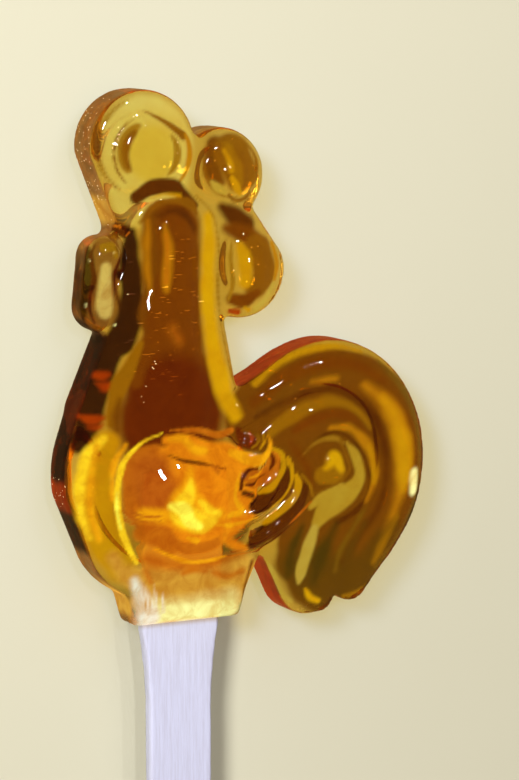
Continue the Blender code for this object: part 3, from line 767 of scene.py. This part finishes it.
tailTones = [
    ("russet", 1.0, patch((9.5, 27.8, 4.6), (17.0, 29.0, 7.6), (25.0, 27.0, 7.6), (28.0, 19.0, 7.0),
        (25.0, 11.0, 7.0), (20.0, 7.0, 6.0))),
    ("russet", 1.0, patch((14.5, 20.0, 4.0), (19.0, 20.0, 6.0), (17.0, 9.0, 4.4))),
    ("olive", 3.0, patch((15.0, 8.0, 2.0), (20.0, 5.0, 4.0), (25.0, 5.4, 3.0))),
    ("olive", 3.0, patch((27.0, 8.4, 1.6), (29.6, 12.0, 1.0))),
    # the outer feather, from its rim inwards
    ("gold", 0.8, patch((9.6, 32.2, 0.3), (13.0, 34.6, 0.4), (17.0, 36.2, 0.4), (21.0, 36.7, 0.35),
        (25.0, 35.8, 0.2))),
    ("mahogany", 1.4, patch((9.0, 30.0, 0.6), (14.0, 33.2, 1.0), (19.0, 34.6, 0.9), (24.0, 34.0, 0.7),
        (27.6, 31.8, 0.3))),
    ("amber", 1.6, patch((17.6, 32.2, 0.1), (19.2, 32.3, 0.4), (21.0, 32.4, 0.1))),
    ("amber", 1.6, patch((25.0, 31.4, 0.3), (28.4, 28.6, 0.9), (30.6, 24.4, 1.2), (31.1, 20.0, 1.2),
        (30.4, 16.0, 0.5), (28.6, 11.4, 0.3))),
    ("gold", 1.5, patch((27.6, 29.6, 0.3), (29.6, 26.8, 0.7), (31.0, 22.6, 1.1), (31.2, 19.4, 0.9),
        (30.9, 17.0, 0.2))),
    ("greyBrown", 1.0, patch((27.6, 34.2, 0.3), (31.6, 30.0, 0.8), (33.8, 24.6, 0.9), (34.0, 19.4, 0.8),
        (33.2, 14.4, 0.7), (30.4, 10.0, 0.5), (27.6, 6.6, 0.3))),
    ("olive", 1.6, patch((29.6, 12.0, 0.8), (26.8, 8.6, 1.2), (24.4, 5.6, 1.0))),
    ("oliveGold", 1.2, patch((30.0, 13.2, 0.3), (28.2, 9.6, 0.5), (27.0, 7.4, 0.3))),
    # the groove between the two feathers
    ("deepBrown", 1.3, patch((9.6, 28.0, 0.2), (13.0, 29.6, 0.3), (17.0, 30.8, 0.35), (20.6, 31.0, 0.3),
        (24.6, 29.2, 0.55), (27.2, 26.4, 0.5), (28.6, 22.6, 0.4), (28.7, 18.6, 0.3), (27.6, 14.6, 0.4),
        (24.8, 11.0, 0.4), (22.4, 7.6, 0.3))),
    # the inner feather
    ("oliveGold", 0.9, patch((11.4, 25.8, 0.7), (14.4, 27.8, 0.9), (18.0, 29.2, 0.8), (21.4, 29.3, 0.7),
        (24.2, 28.0, 0.5), (26.4, 25.6, 0.3))),
    ("mahogany", 1.0, patch((15.0, 25.8, 0.5), (18.0, 27.4, 0.7), (21.4, 27.7, 0.7), (24.0, 26.6, 0.5),
        (25.6, 24.8, 0.3))),
    ("amber", 1.0, patch((20.4, 25.9, 0.3), (23.2, 25.6, 0.5), (25.6, 23.6, 0.6), (26.9, 20.8, 0.6),
        (26.9, 18.2, 0.6), (25.8, 15.8, 0.4))),
    ("gold", 1.0, patch((26.3, 22.8, 0.2), (27.0, 20.6, 0.4), (27.0, 18.0, 0.3))),
    ("greyBrown", 0.8, patch((26.0, 15.0, 0.1), (24.0, 12.4, 0.25), (21.8, 9.0, 0.3), (21.2, 6.6, 0.3))),
    ("olive", 1.2, patch((25.6, 12.6, 0.4), (23.6, 9.6, 0.6), (22.6, 7.0, 0.4))),
    # the bud inside them
    ("deepBrown", 0.6, patch((17.0, 22.9, 0.1), (19.6, 25.0, 0.15), (22.2, 25.0, 0.2), (24.6, 23.0, 0.25),
        (26.1, 20.4, 0.25), (26.3, 17.8, 0.25), (24.8, 14.9, 0.25), (21.6, 13.0, 0.3))),
    ("toffee", 0.5, patch((16.0, 22.0, 0.1), (18.4, 24.0, 0.2), (21.0, 24.4, 0.3), (22.4, 23.6, 0.2))),
    ("mahogany", 1.2, patch((14.6, 24.2, 0.4), (16.6, 21.4, 0.5), (17.6, 18.4, 0.4))),
    ("oliveGold", 0.6, patch((19.4, 19.6, 1.3), (21.2, 19.6, 1.4))),
    ("brightGold", 0.9, patch((19.6, 20.6, 0.4), (20.8, 21.8, 0.9), (21.9, 20.2, 0.5))),
    ("strawGold", 0.5, patch((22.9, 23.7, 0.2), (24.3, 21.6, 0.7), (24.9, 19.6, 0.7), (24.3, 17.8, 1.1),
        (22.2, 16.2, 1.5), (20.0, 14.9, 1.4), (18.6, 13.2, 0.8))),
    ("strawGold", 0.5, patch((17.6, 15.4, 0.4), (19.4, 16.6, 0.7), (22.0, 17.8, 0.5))),
    ("brown", 0.4, patch((21.9, 24.0, 0.15), (22.9, 21.6, 0.3), (23.3, 20.0, 0.2), (21.4, 18.3, 0.2),
        (18.4, 17.2, 0.15))),
    # the small feather below
    ("straw", 0.5, patch((18.2, 12.4, 0.6), (17.2, 9.8, 0.8), (16.2, 7.0, 0.8), (15.8, 5.4, 0.3))),
    ("darkOlive", 1.2, patch((16.4, 12.8, 0.3), (14.9, 9.8, 0.6), (14.3, 6.4, 0.4))),
    ("darkOlive", 1.5, patch((21.4, 12.8, 0.2), (20.2, 10.6, 0.6), (18.9, 8.0, 0.9), (18.0, 5.4, 0.5))),
    ("straw", 0.4, patch((11.4, 8.6, 0.15), (12.6, 6.6, 0.25), (13.6, 4.2, 0.25), (15.0, 2.8, 0.2))),
    ("brightGold", 0.6, patch((16.8, 4.4, 0.2), (17.6, 3.2, 0.4), (18.8, 2.6, 0.3))),
    ("oliveGold", 0.7, patch((23.0, 2.8, 0.3), (25.4, 3.4, 0.5))),
    # painted highlights: a bright reflection painted on the tail's rim
    ("shine", 0.8, patch((32.6, 19.2, 0.6), (32.7, 16.6, 0.7))),
    ("shine", 0.6, patch((35.0, 18.2, 0.3), (34.8, 16.2, 0.3))),
]

# The same for the side walls, over the walls' painted shade: more painted shade, and painted red and brass
# glints and glows.
wallTones = [
    ("black", 2.0, patch((-8.0, 52.0, 1.2), (-9.0, 45.0, 2.0), (-13.0, 38.0, 3.0), (-16.0, 27.0, 3.0),
        (-17.0, 20.0, 2.5), (-14.5, 13.0, 2.0))),
    ("redWall", 1.6, patch((-17.0, 20.0, 0.4), (-16.4, 17.0, 0.4))),
    ("black", 1.4, patch((-14.4, 50.0, 0.8), (-14.7, 46.6, 1.1), (-14.9, 43.0, 0.9))),
    ("redWall", 0.8, patch((-13.4, 52.6, 0.8), (-11.6, 53.8, 0.8))),
    ("brass", 1.8, patch((-10.9, 56.6, 0.5), (-9.8, 54.4, 0.6))),
    ("redWall", 1.5, band(tail["outer"], 1.0, 1.6, 0, 5)),
    ("copper", 1.2, band(tail["outer"], 1.3, 0.5, 2.5, 4.2)),
    ("redWall", 1.5, patch((11.4, 8.0, 1.5), (14.0, 4.0, 1.6), (18.0, 1.4, 1.4))),
    ("brass", 1.5, patch((-10.5, 9.5, 1.4), (-8.0, 4.0, 1.6))),
    ("brass", 1.5, patch((8.4, 7.0, 1.0), (8.2, 3.0, 1.4))),
]


def placesAndNormals(mesh):
    places = np.empty(len(mesh.vertices) * 3)
    normals = np.empty(len(mesh.vertices) * 3, np.float32)
    mesh.vertices.foreach_get("co", places)
    mesh.vertex_normals.foreach_get("vector", normals)
    return places.reshape(-1, 3), normals.reshape(-1, 3)


def strokeShare(places, wobble, stroke, softness):
    # how much of each place a soft stroke covers
    room = np.full(len(places), -softness)
    for x, y, halfWidth in stroke:
        room = np.maximum(room, halfWidth - np.hypot(places[:, 0] - x, places[:, 1] - y))
    share = np.clip(0.5 + (room + wobble * min(1, softness)) / softness, 0, 1)
    return share * share * (3 - 2 * share)


def layTone(layers, name, share):
    for layer, color in zip(layers, tones[name]):
        layer += share[:, None] * (np.array(color) - layer)


def paintSugar(mesh):
    # painted light and shade, tone by tone over the faces that lie up, with the side walls given painted
    # shade by their steepness
    places, normals = placesAndNormals(mesh)
    count = len(places)
    up = normals[:, 2]
    wobble = np.array([noise.noise(Vector(p) / unevenness["length"]) for p in places]) * unevenness["reach"]
    through = np.ones((count, 3)) * tones["clear"][0]
    layers = through, np.zeros((count, 3))
    steep = np.clip((wallTone["from"] - np.abs(up)) / (wallTone["from"] - wallTone["to"]), 0, 1)
    layTone(layers, wallTone["tone"], steep)
    for name, softness, stroke in wallTones:
        layTone(layers, name, steep * strokeShare(places, wobble, stroke, softness))
    face = np.clip(up / wallTone["stroke"], 0, 1)
    for name, softness, stroke in combTones + wattleTones + tailTones + neckTones + wingTones + skirtTones:
        layTone(layers, name, face * strokeShare(places, wobble, stroke, softness))
    # the glass takes the root of its color, so the tint is stored squared
    for name, layer in ("tint", layers[0] ** 2), ("glow", layers[1]):
        attribute = mesh.attributes.new(name, "FLOAT_COLOR", "POINT")
        attribute.data.foreach_set("color", np.hstack((layer, np.ones((count, 1)))).ravel())


def feather(stroke, halfDepth, tree):
    # a ridge along a stroke, with its whole depth where it is widest
    obj = newCurve("feather", strokePath(stroke), closed=False)
    obj.data.dimensions = "3D"
    widest = max(halfWidth for *_, halfWidth in stroke)
    mesh = grow(obj, tree, {"Depth share": halfDepth / widest, "Sides": casting["ridgeSides"]})
    bpy.data.objects.remove(obj)
    return mesh


def combForms(tree):
    names = "front", "middle", "back", "root"
    return [plate(comb[name], slab["half"], slab["rounding"]) for name in names] + [
        plate(comb["boss"], comb["bossHalf"], slab["rounding"] / 2),
        dome(*comb["middleDome"]),
        feather(comb["backDome"], comb["backDomeHalf"], tree),
    ]


def wattleForms():
    flat = [plate(wattle[name], wattle["half"], slab["rounding"]) for name in ("plate", "root")]
    return flat + [plate(wattle["bump"], wattle["bumpHalf"], slab["rounding"]), dome(*wattle["knot"])]


def neckForms():
    return [
        plate(neck["front"], neck["half"], neck["rounding"]),
        dome(*neck["swell"]),
        plate(neck["collar"], neck["collarHalf"], slab["rounding"] / 2),
        plate(neck["plate"], slab["half"], slab["rounding"]),
    ]


def breastForms():
    return [plate(breast["plate"], slab["half"], breast["rounding"]), dome(*breast["bulge"])]


def wingForms(tree):
    feathers = [feather(stroke, wing["featherHalf"], tree) for stroke in wing["feathers"]]
    return feathers + [plate(wing["plate"], wing["half"], wing["rounding"]), dome(*wing["dome"])]


def tailForms(tree):
    names = "outer", "middle", "web", "foot", "bed"
    flat = [plate(tail[name], slab["half"], slab["rounding"]) for name in names]
    ridges = [feather(tail[name], tail["featherHalf"], tree) for name in ("outer", "middle", "bud")]
    return flat + ridges + [feather(tail["lower"], tail["lowerHalf"], tree)]


def skirtForms():
    return [outlineSolid([Vector(p) for p in skirt["outline"]], skirt["half"], skirt["rounding"])]


# where the sugar has crumbled: the boss's rims, the streak, the middle lobe and the band of the comb,
# the wattle's knot, the wing's curls and the hem
crumbled = [
    (0.5, arc((-5.3, 62.8), 5.0, 0.35, 140, 205)),
    (0.4, arc((-5.3, 62.8), 3.7, 0.35, -25, 30)),
    (0.5, patch((-6.0, 68.0, 0.3), (-3.4, 66.6, 0.4), (-0.9, 65.2, 0.5))),
    (0.4, arc((6.0, 60.6), 3.9, 0.3, -50, 56)),
    (0.5, patch((-7.4, 58.9, 0.2), (-5.0, 59.4, 0.35), (-2.0, 59.2, 0.3))),
    (0.6, patch((-10.0, 53.6, 0.8), (-8.8, 52.6, 1.0))),
    (0.5, patch((7.6, 26.0, 0.6), (9.4, 24.4, 0.8))),
    (0.5, patch((7.4, 20.4, 0.7), (9.6, 19.8, 1.0))),
    (0.8, patch((-7.6, 6.0, 0.6), (-6.4, 2.4, 0.9))),
]


def castSurface(mesh):
    # soft waves in the faces, fine pits in the walls, and the flat spots that the candy lies on
    places, normals = placesAndNormals(mesh)
    wall = np.clip(1 - casting["pitFade"] * np.abs(normals[:, 2]), 0, 1)
    wave = np.array([noise.noise(Vector(p) / casting["waveLength"]) for p in places])
    pit = np.array([noise.noise(Vector(p) / casting["pitLength"]) for p in places])
    lift = casting["waves"] * wave - casting["pits"] * wall * np.clip(pit, 0, 1)
    crumb = np.array([noise.noise(Vector(p) / casting["crumbLength"]) for p in places])
    for softness, stroke in crumbled:
        share = strokeShare(places, 0.0, stroke, softness) * np.clip(normals[:, 2], 0, 1)
        lift += casting["crumbs"] * crumb * share
    places += normals * lift[:, None]
    places[:, 2] = np.maximum(places[:, 2], -casting["restDepth"])
    mesh.vertices.foreach_set("co", places.ravel())
    mesh.update()


def castCandy(material):
    tree = ridgeTree(material)
    forms = combForms(tree) + wattleForms() + neckForms() + breastForms()
    forms += wingForms(tree) + tailForms(tree) + skirtForms()
    print("candy:", len(forms), "forms pressed")
    bm = bmesh.new()
    for mesh in forms:
        bm.from_mesh(mesh)
        bpy.data.meshes.remove(mesh)
    mesh = bpy.data.meshes.new("candy_form")
    bm.to_mesh(mesh)
    bm.free()
    obj = bpy.data.objects.new("candy_form", mesh)
    bpy.context.scene.collection.objects.link(obj)
    fused = obj.modifiers.new("cast in one", "REMESH")
    fused.mode = "VOXEL"
    fused.voxel_size = casting["voxel"]
    softness = {"Rounds": casting["rounds"], "Face rounds": casting["faceRounds"]}
    cast = grow(obj, softeningTree(material), softness)
    bpy.data.objects.remove(obj)
    castSurface(cast)
    paintSugar(cast)
    cast.shade_smooth()
    print("candy:", len(cast.polygons), "faces after casting")
    air = airUnderSkin(cast, trappedAir())
    return placePiece("candy_cast", cast, material), air


# Bubbles and drawn threads of air just under the skin of the sugar, beads on its rims, specks on its walls,
# as pale specks whose glints are painted by their pale colour and glow

bubbles = {
    # the depth under the skin and the radii are in millimetres, the density is for a square one
    "round": {"Depth": 0.3, "Density": 0.12, "Smallest": 0.06, "Largest": 0.13, "Stretch": 1.3, "Seed": 7},
    "drawn": {"Depth": 0.3, "Density": 0.5, "Smallest": 0.045, "Largest": 0.08, "Stretch": 9.0, "Seed": 21},
    "beads": {"Depth": 0.06, "Density": 3.0, "Smallest": 0.05, "Largest": 0.1, "Stretch": 1.2, "Seed": 5},
    "specks": {"Depth": 0.03, "Density": 0.9, "Smallest": 0.03, "Largest": 0.07, "Stretch": 1.2, "Seed": 3},
    "segments": 8,
    "rings": 5,
    # colour and glow of the painted glints
    "color": (0.95, 0.82, 0.5),
    "glow": (0.5, 0.36, 0.12),
    "roughness": 0.25,
}

# where they lie: softness and stroke
bubblyRounds = [
    (1.0, patch((-9.6, 66.6, 0.6), (-10.6, 61.0, 0.6))),
    (1.5, patch((6.0, 61.0, 3.6))),
    (1.5, patch((8.6, 48.0, 3.6))),
    (1.0, patch((-8.2, 50.0, 0.7), (-8.6, 42.0, 1.0), (-12.4, 33.0, 1.0))),
    (2.0, patch((-12.0, 18.0, 3.0))),
    (1.0, patch((8.0, 24.0, 2.0), (14.0, 22.0, 1.6))),
    (2.0, patch((15.0, 31.0, 3.0), (22.0, 32.0, 2.0))),
]
beadedRims = [
    (0.3, arc((-5.3, 62.8), 5.0, 0.2, 138, 200)),
    (0.3, arc((-5.3, 62.8), 3.7, 0.15, -20, 24)),
    (0.3, arc((6.0, 60.6), 3.9, 0.15, 20, 50)),
    (0.4, patch((-5.0, 39.4, 0.12), (-6.0, 35.7, 0.2), (-6.9, 32.5, 0.2), (-7.7, 30.2, 0.15))),
]
speckledWalls = [
    (1.0, patch((-11.0, 69.0, 1.5), (-13.6, 64.0, 2.0), (-12.6, 58.0, 2.0), (-10.0, 54.4, 1.2))),
    (1.5, patch((-17.0, 22.0, 0.3), (-16.6, 17.0, 0.3))),
]
bubblyThreads = [
    (1.5, patch((-2.0, 50.0, 2.6), (-1.6, 44.0, 3.6), (-3.2, 36.0, 4.6))),
    (0.8, patch((-8.0, 50.0, 0.7), (-8.3, 42.0, 1.0), (-9.6, 39.0, 0.8))),
]


def airTree(material):
    tree, board = newTree("air in the sugar", {
        "Depth": "Float", "Density": "Float", "Smallest": "Float", "Largest": "Float", "Stretch": "Float",
        "Seed": "Int",
    })
    skin = board.add("NodeGroupInput", out="Geometry")
    share = board.add("GeometryNodeInputNamedAttribute", {"data_type": "FLOAT"}, {"Name": "air"})
    seed = board.add("NodeGroupInput", out="Seed")
    density = board.add("NodeGroupInput", out="Density") * share
    points = board.add("GeometryNodeDistributePointsOnFaces", {}, {
        "Mesh": skin, "Density": density, "Seed": seed,
    })
    depth = board.add("NodeGroupInput", out="Depth")
    inward = board.vector("MULTIPLY", points.sibling("Normal"), 0 - depth)
    sunk = board.add("GeometryNodeSetPosition", {}, {"Geometry": points, "Offset": inward})
    ball = board.add("GeometryNodeMeshUVSphere", {}, {
        "Segments": bubbles["segments"], "Rings": bubbles["rings"], "Radius": 1.0,
    })
    low = board.add("NodeGroupInput", out="Smallest")
    high = board.add("NodeGroupInput", out="Largest")
    radius = board.add("FunctionNodeRandomValue", {}, {2: low, 3: high, "Seed": seed}, out=1)
    drawn = board.add("FunctionNodeRandomValue", {}, {
        2: 1.0, 3: board.add("NodeGroupInput", out="Stretch"), "Seed": seed + 1,
    }, out=1)
    size = board.add("ShaderNodeCombineXYZ", {}, {0: radius * drawn, 1: radius, 2: radius})
    air = board.add("GeometryNodeInstanceOnPoints", {}, {"Points": sunk, "Instance": ball, "Scale": size})
    finishTree(board, air, material)
    return tree


def trappedAir():
    material, board = newMaterial("trapped_air_glints")
    # painted glints: a pale colour and a glow in place of the light a real bubble catches
    glint = board.add("ShaderNodeBsdfPrincipled", {}, {
        "Base Color": (*bubbles["color"], 1), "Roughness": bubbles["roughness"],
        "Emission Color": (*bubbles["glow"], 1), "Emission Strength": 1.0,
    })
    board.add("ShaderNodeOutputMaterial", {}, {"Surface": glint})
    return material


def airUnderSkin(skin, material):
    # grown on a copy of the cast surface, in the mould's millimetres
    tree = airTree(material)
    bm = bmesh.new()
    places, normals = placesAndNormals(skin)
    faces = np.clip(2 * normals[:, 2] - 1, 0, 1)                # none where it is steeper than 60 degrees
    walls = np.clip(1 - 2 * np.abs(normals[:, 2]), 0, 1)        # and here none where it is less steep
    for strokes, values, where in (
        (bubblyRounds, bubbles["round"], faces), (bubblyThreads, bubbles["drawn"], faces),
        (beadedRims, bubbles["beads"], faces), (speckledWalls, bubbles["specks"], walls),
    ):
        share = np.zeros(len(places))
        for softness, stroke in strokes:
            share = np.maximum(share, strokeShare(places, 0.0, stroke, softness))
        share *= where
        copy = skin.copy()
        copy.attributes.new("air", "FLOAT", "POINT").data.foreach_set("value", share.astype(np.float32))
        obj = bpy.data.objects.new("air_form", copy)
        bpy.context.scene.collection.objects.link(obj)
        mesh = grow(obj, tree, values)
        bpy.data.objects.remove(obj)
        bm.from_mesh(mesh)
        bpy.data.meshes.remove(mesh)
    mesh = bpy.data.meshes.new("air")
    bm.to_mesh(mesh)
    bm.free()
    mesh.shade_smooth()
    print("air:", len(mesh.polygons), "faces of bubbles")
    return placePiece("trapped_air_glints", mesh, material)


# The birch stick

birchLook = {
    "pale": (0.585, 0.615, 0.83),
    "grain": (0.52, 0.535, 0.71),
    "buriedDark": (0.46, 0.25, 0.03),       # painted shade: darker and amber where it lies inside the sugar, like the dim sugar round it
    "buriedFrom": 0.2,                  # millimetres above the hem
    "buriedTo": 2.0,
    "roughness": 0.62,
    "stretch": 0.04,                    # the grain's pattern along the stick, against that across it
    "grainNoise": (3.0, 6.0, 0.6),      # scale, detail and roughness
    "fineNoise": (14.0, 3.0, 0.6),
    "fineShare": 0.3,
    "streakFrom": 0.4,
    "streakTo": 0.65,
    "bump": 0.3,
    "bumpHeight": 0.0001,
}


def birchWood():
    material, board = newMaterial("birch_wood")
    place = mouldPlace(board)
    long = board.add("ShaderNodeMapping", {}, {"Vector": place, "Scale": (1.0, birchLook["stretch"], 1.0)})
    grain = board.noise(long, *birchLook["grainNoise"])
    fine = board.noise(long, *birchLook["fineNoise"])
    both = grain * (1 - birchLook["fineShare"]) + fine * birchLook["fineShare"]
    streak = board.ramp(both, birchLook["streakFrom"], birchLook["streakTo"])
    dry = board.mix(streak, (*birchLook["pale"], 1), (*birchLook["grain"], 1))
    height = board.add("ShaderNodeSeparateXYZ", {}, {0: place}, out="Y")
    buried = board.ramp(height, birchLook["buriedFrom"], birchLook["buriedTo"])
    color = board.mix(buried, dry, (*birchLook["buriedDark"], 1))
    bump = board.add("ShaderNodeBump", {}, {
        "Strength": birchLook["bump"], "Distance": birchLook["bumpHeight"], "Height": fine,
    })
    wood = board.add("ShaderNodeBsdfPrincipled", {}, {
        "Base Color": color, "Roughness": birchLook["roughness"], "Normal": bump,
    })
    board.add("ShaderNodeOutputMaterial", {}, {"Surface": wood})
    return material


def stickOutline():
    bottom = stickSizes["top"] - stickSizes["length"]
    half = stickSizes["width"] / 2 - stickSizes["edge"]
    flared = stickSizes["flaredWidth"] / 2 - stickSizes["edge"]
    start = stickSizes["flareStart"]
    side = [(half, bottom + half + stickSizes["edge"]), (half, start)]
    for step in range(1, stickSizes["flareSteps"] + 1):
        t = step / stickSizes["flareSteps"]
        side.append((half + (flared - half) * t * t, start * (1 - t)))
    side.append((flared, stickSizes["top"] - stickSizes["edge"]))
    end = halfTurn(Vector((0, bottom + half + stickSizes["edge"])), half, math.pi)
    return [Vector(p) for p in side] + [Vector((-x, y)) for x, y in reversed(side)] + end[1:-1]


def sawnStick(material):
    mesh = outlineSolid(stickOutline(), stickSizes["thickness"] / 2, stickSizes["edge"])
    obj = bpy.data.objects.new("stick_form", mesh)
    bpy.context.scene.collection.objects.link(obj)
    even = obj.modifiers.new("even faces", "REMESH")
    even.mode = "VOXEL"
    even.voxel_size = stickSizes["voxel"]
    sawn = takeMesh(obj)
    places = placesAndNormals(sawn)[0]
    fuzzX, fuzzY = stickSizes["fuzzScale"]
    ribX, ribY = stickSizes["ribScale"]
    ribSeed = stickSizes["ribSeed"]
    for place in places:
        x, y, z = place
        place[0] += stickSizes["fuzz"] * noise.noise(Vector((x * fuzzX, y * fuzzY, z)))
        place[2] += stickSizes["ribs"] * noise.noise(Vector((x * ribX, y * ribY, ribSeed + z)))
    sawn.vertices.foreach_set("co", places.ravel())
    sawn.shade_smooth()
    print("stick:", len(sawn.polygons), "faces after sawing")
    return placePiece("birch_stick", sawn, material)


# The studio

studio = {
    "cameraTurn": 25.0,         # degrees to the breast's side of straight above
    "cameraTilt": 7.5,          # degrees toward the comb
    "cameraDistance": 450.0,
    "aim": (11.84, 30.9, 0.0),  # the point of the mould in the middle of the picture
    "scale": 7.57,              # pixels for a millimetre at the aim
    "frameHeight": 780,
    "sensor": 24.0,
    "nearest": 0.01,            # metres
    "floorDrop": 0.05,          # below the lollipop, so that the two never touch
    "floorSize": 3000.0,
    "paper": ((0.58, 0.575, 0.45, 1), (0.64, 0.635, 0.51, 1)),      # the two colours of its mottle
    "paperNoise": (9.0, 4.0),
    "paperRoughness": 0.9,
    "air": (1.0, 0.66, 0.26, 1),        # the light from all round
    "airStrength": 0.15,
    "litPoint": (8, 32, 0),     # the point of the mould that the lamps face
}

# where each lamp stands from the lit point, its distance and sides in metres, its watts and its colour,
# and whether the sugar mirrors it
lamps = {
    "key": ((-0.62, 0.35, 0.72), 0.6, (0.12, 0.12), 4.2, (1.0, 0.97, 0.92), False),
    "spark": ((-0.12, 0.25, 0.96), 0.6, (0.035, 0.055), 0.67, (0.97, 0.97, 1.0), True),
    "tail spark": ((0.18, 0.4, 0.9), 0.6, (0.016, 0.03), 0.3, (0.97, 0.97, 1.0), True),
    "fill": ((0.3, 0.9, 0.9), 0.9, (0.5, 0.5), 1.6, (0.95, 0.97, 1.0), False),
}


def pointInMetres(place):
    return mouldOrigin + Vector(place) * millimetre


def addCamera():
    turn = math.radians(studio["cameraTurn"])
    tilt = math.radians(studio["cameraTilt"])
    toCamera = Vector((-math.sin(turn) * math.cos(tilt), math.sin(tilt), math.cos(turn) * math.cos(tilt)))
    right = Vector((math.cos(turn), 0, math.sin(turn)))
    up = toCamera.cross(right)
    data = bpy.data.cameras.new("camera")
    data.sensor_fit = "VERTICAL"
    data.sensor_height = studio["sensor"]
    data.lens = studio["sensor"] * studio["scale"] * studio["cameraDistance"] / studio["frameHeight"]
    data.clip_start = studio["nearest"]
    camera = bpy.data.objects.new("camera", data)
    bpy.context.scene.collection.objects.link(camera)
    place = pointInMetres(studio["aim"]) + toCamera * studio["cameraDistance"] * millimetre
    camera.matrix_world = Matrix.Translation(place) @ Matrix((right, up, toCamera)).transposed().to_4x4()
    bpy.context.scene.camera = camera


def addLamp(name, direction, distance, size, watts, color, mirrored):
    data = bpy.data.lights.new(name, "AREA")
    data.shape = "RECTANGLE"
    data.size, data.size_y = size
    data.energy = watts
    data.color = color
    lamp = bpy.data.objects.new(name, data)
    bpy.context.scene.collection.objects.link(lamp)
    toward = Vector(direction).normalized()
    lamp.location = pointInMetres(studio["litPoint"]) + toward * distance
    lamp.rotation_euler = toward.to_track_quat("Z", "Y").to_euler()
    lamp.visible_glossy = mirrored


def paperFloor():
    material, board = newMaterial("pale_paper")
    place = board.add("ShaderNodeTexCoord", out="Object")
    mottle = board.noise(place, *studio["paperNoise"])
    color = board.mix(mottle, *studio["paper"])
    paper = board.add("ShaderNodeBsdfPrincipled", {}, {
        "Base Color": color, "Roughness": studio["paperRoughness"],
    })
    board.add("ShaderNodeOutputMaterial", {}, {"Surface": paper})
    return material


def addFloor():
    bm = bmesh.new()
    bmesh.ops.create_grid(bm, x_segments=1, y_segments=1, size=studio["floorSize"] * millimetre / 2)
    bmesh.ops.translate(bm, verts=bm.verts, vec=(0, 0, -studio["floorDrop"] * millimetre))
    mesh = bpy.data.meshes.new("floor")
    bm.to_mesh(mesh)
    bm.free()
    mesh.materials.append(paperFloor())
    floor = bpy.data.objects.new("floor", mesh)
    floor.visible_glossy = False            # so that the steep walls of the sugar stay dark
    bpy.context.scene.collection.objects.link(floor)


def addWorld():
    world = bpy.data.worlds.new("studio")
    world.use_nodes = True
    background = world.node_tree.nodes["Background"]
    background.inputs["Color"].default_value = studio["air"]
    background.inputs["Strength"].default_value = studio["airStrength"]
    bpy.context.scene.world = world


candy, air = castCandy(amberSugar())
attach(candy, "root")
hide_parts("candy")
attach(air, "root")

stick = sawnStick(birchWood())
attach(stick, "root")
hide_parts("stick")

addFloor()
addWorld()
for name, lamp in lamps.items():
    addLamp(name, *lamp)
addCamera()
bpy.context.scene.view_settings.view_transform = "Standard"
bpy.context.scene.cycles.caustics_refractive = False
print("studio:", len(lamps), "lamps, paper floor and camera placed")
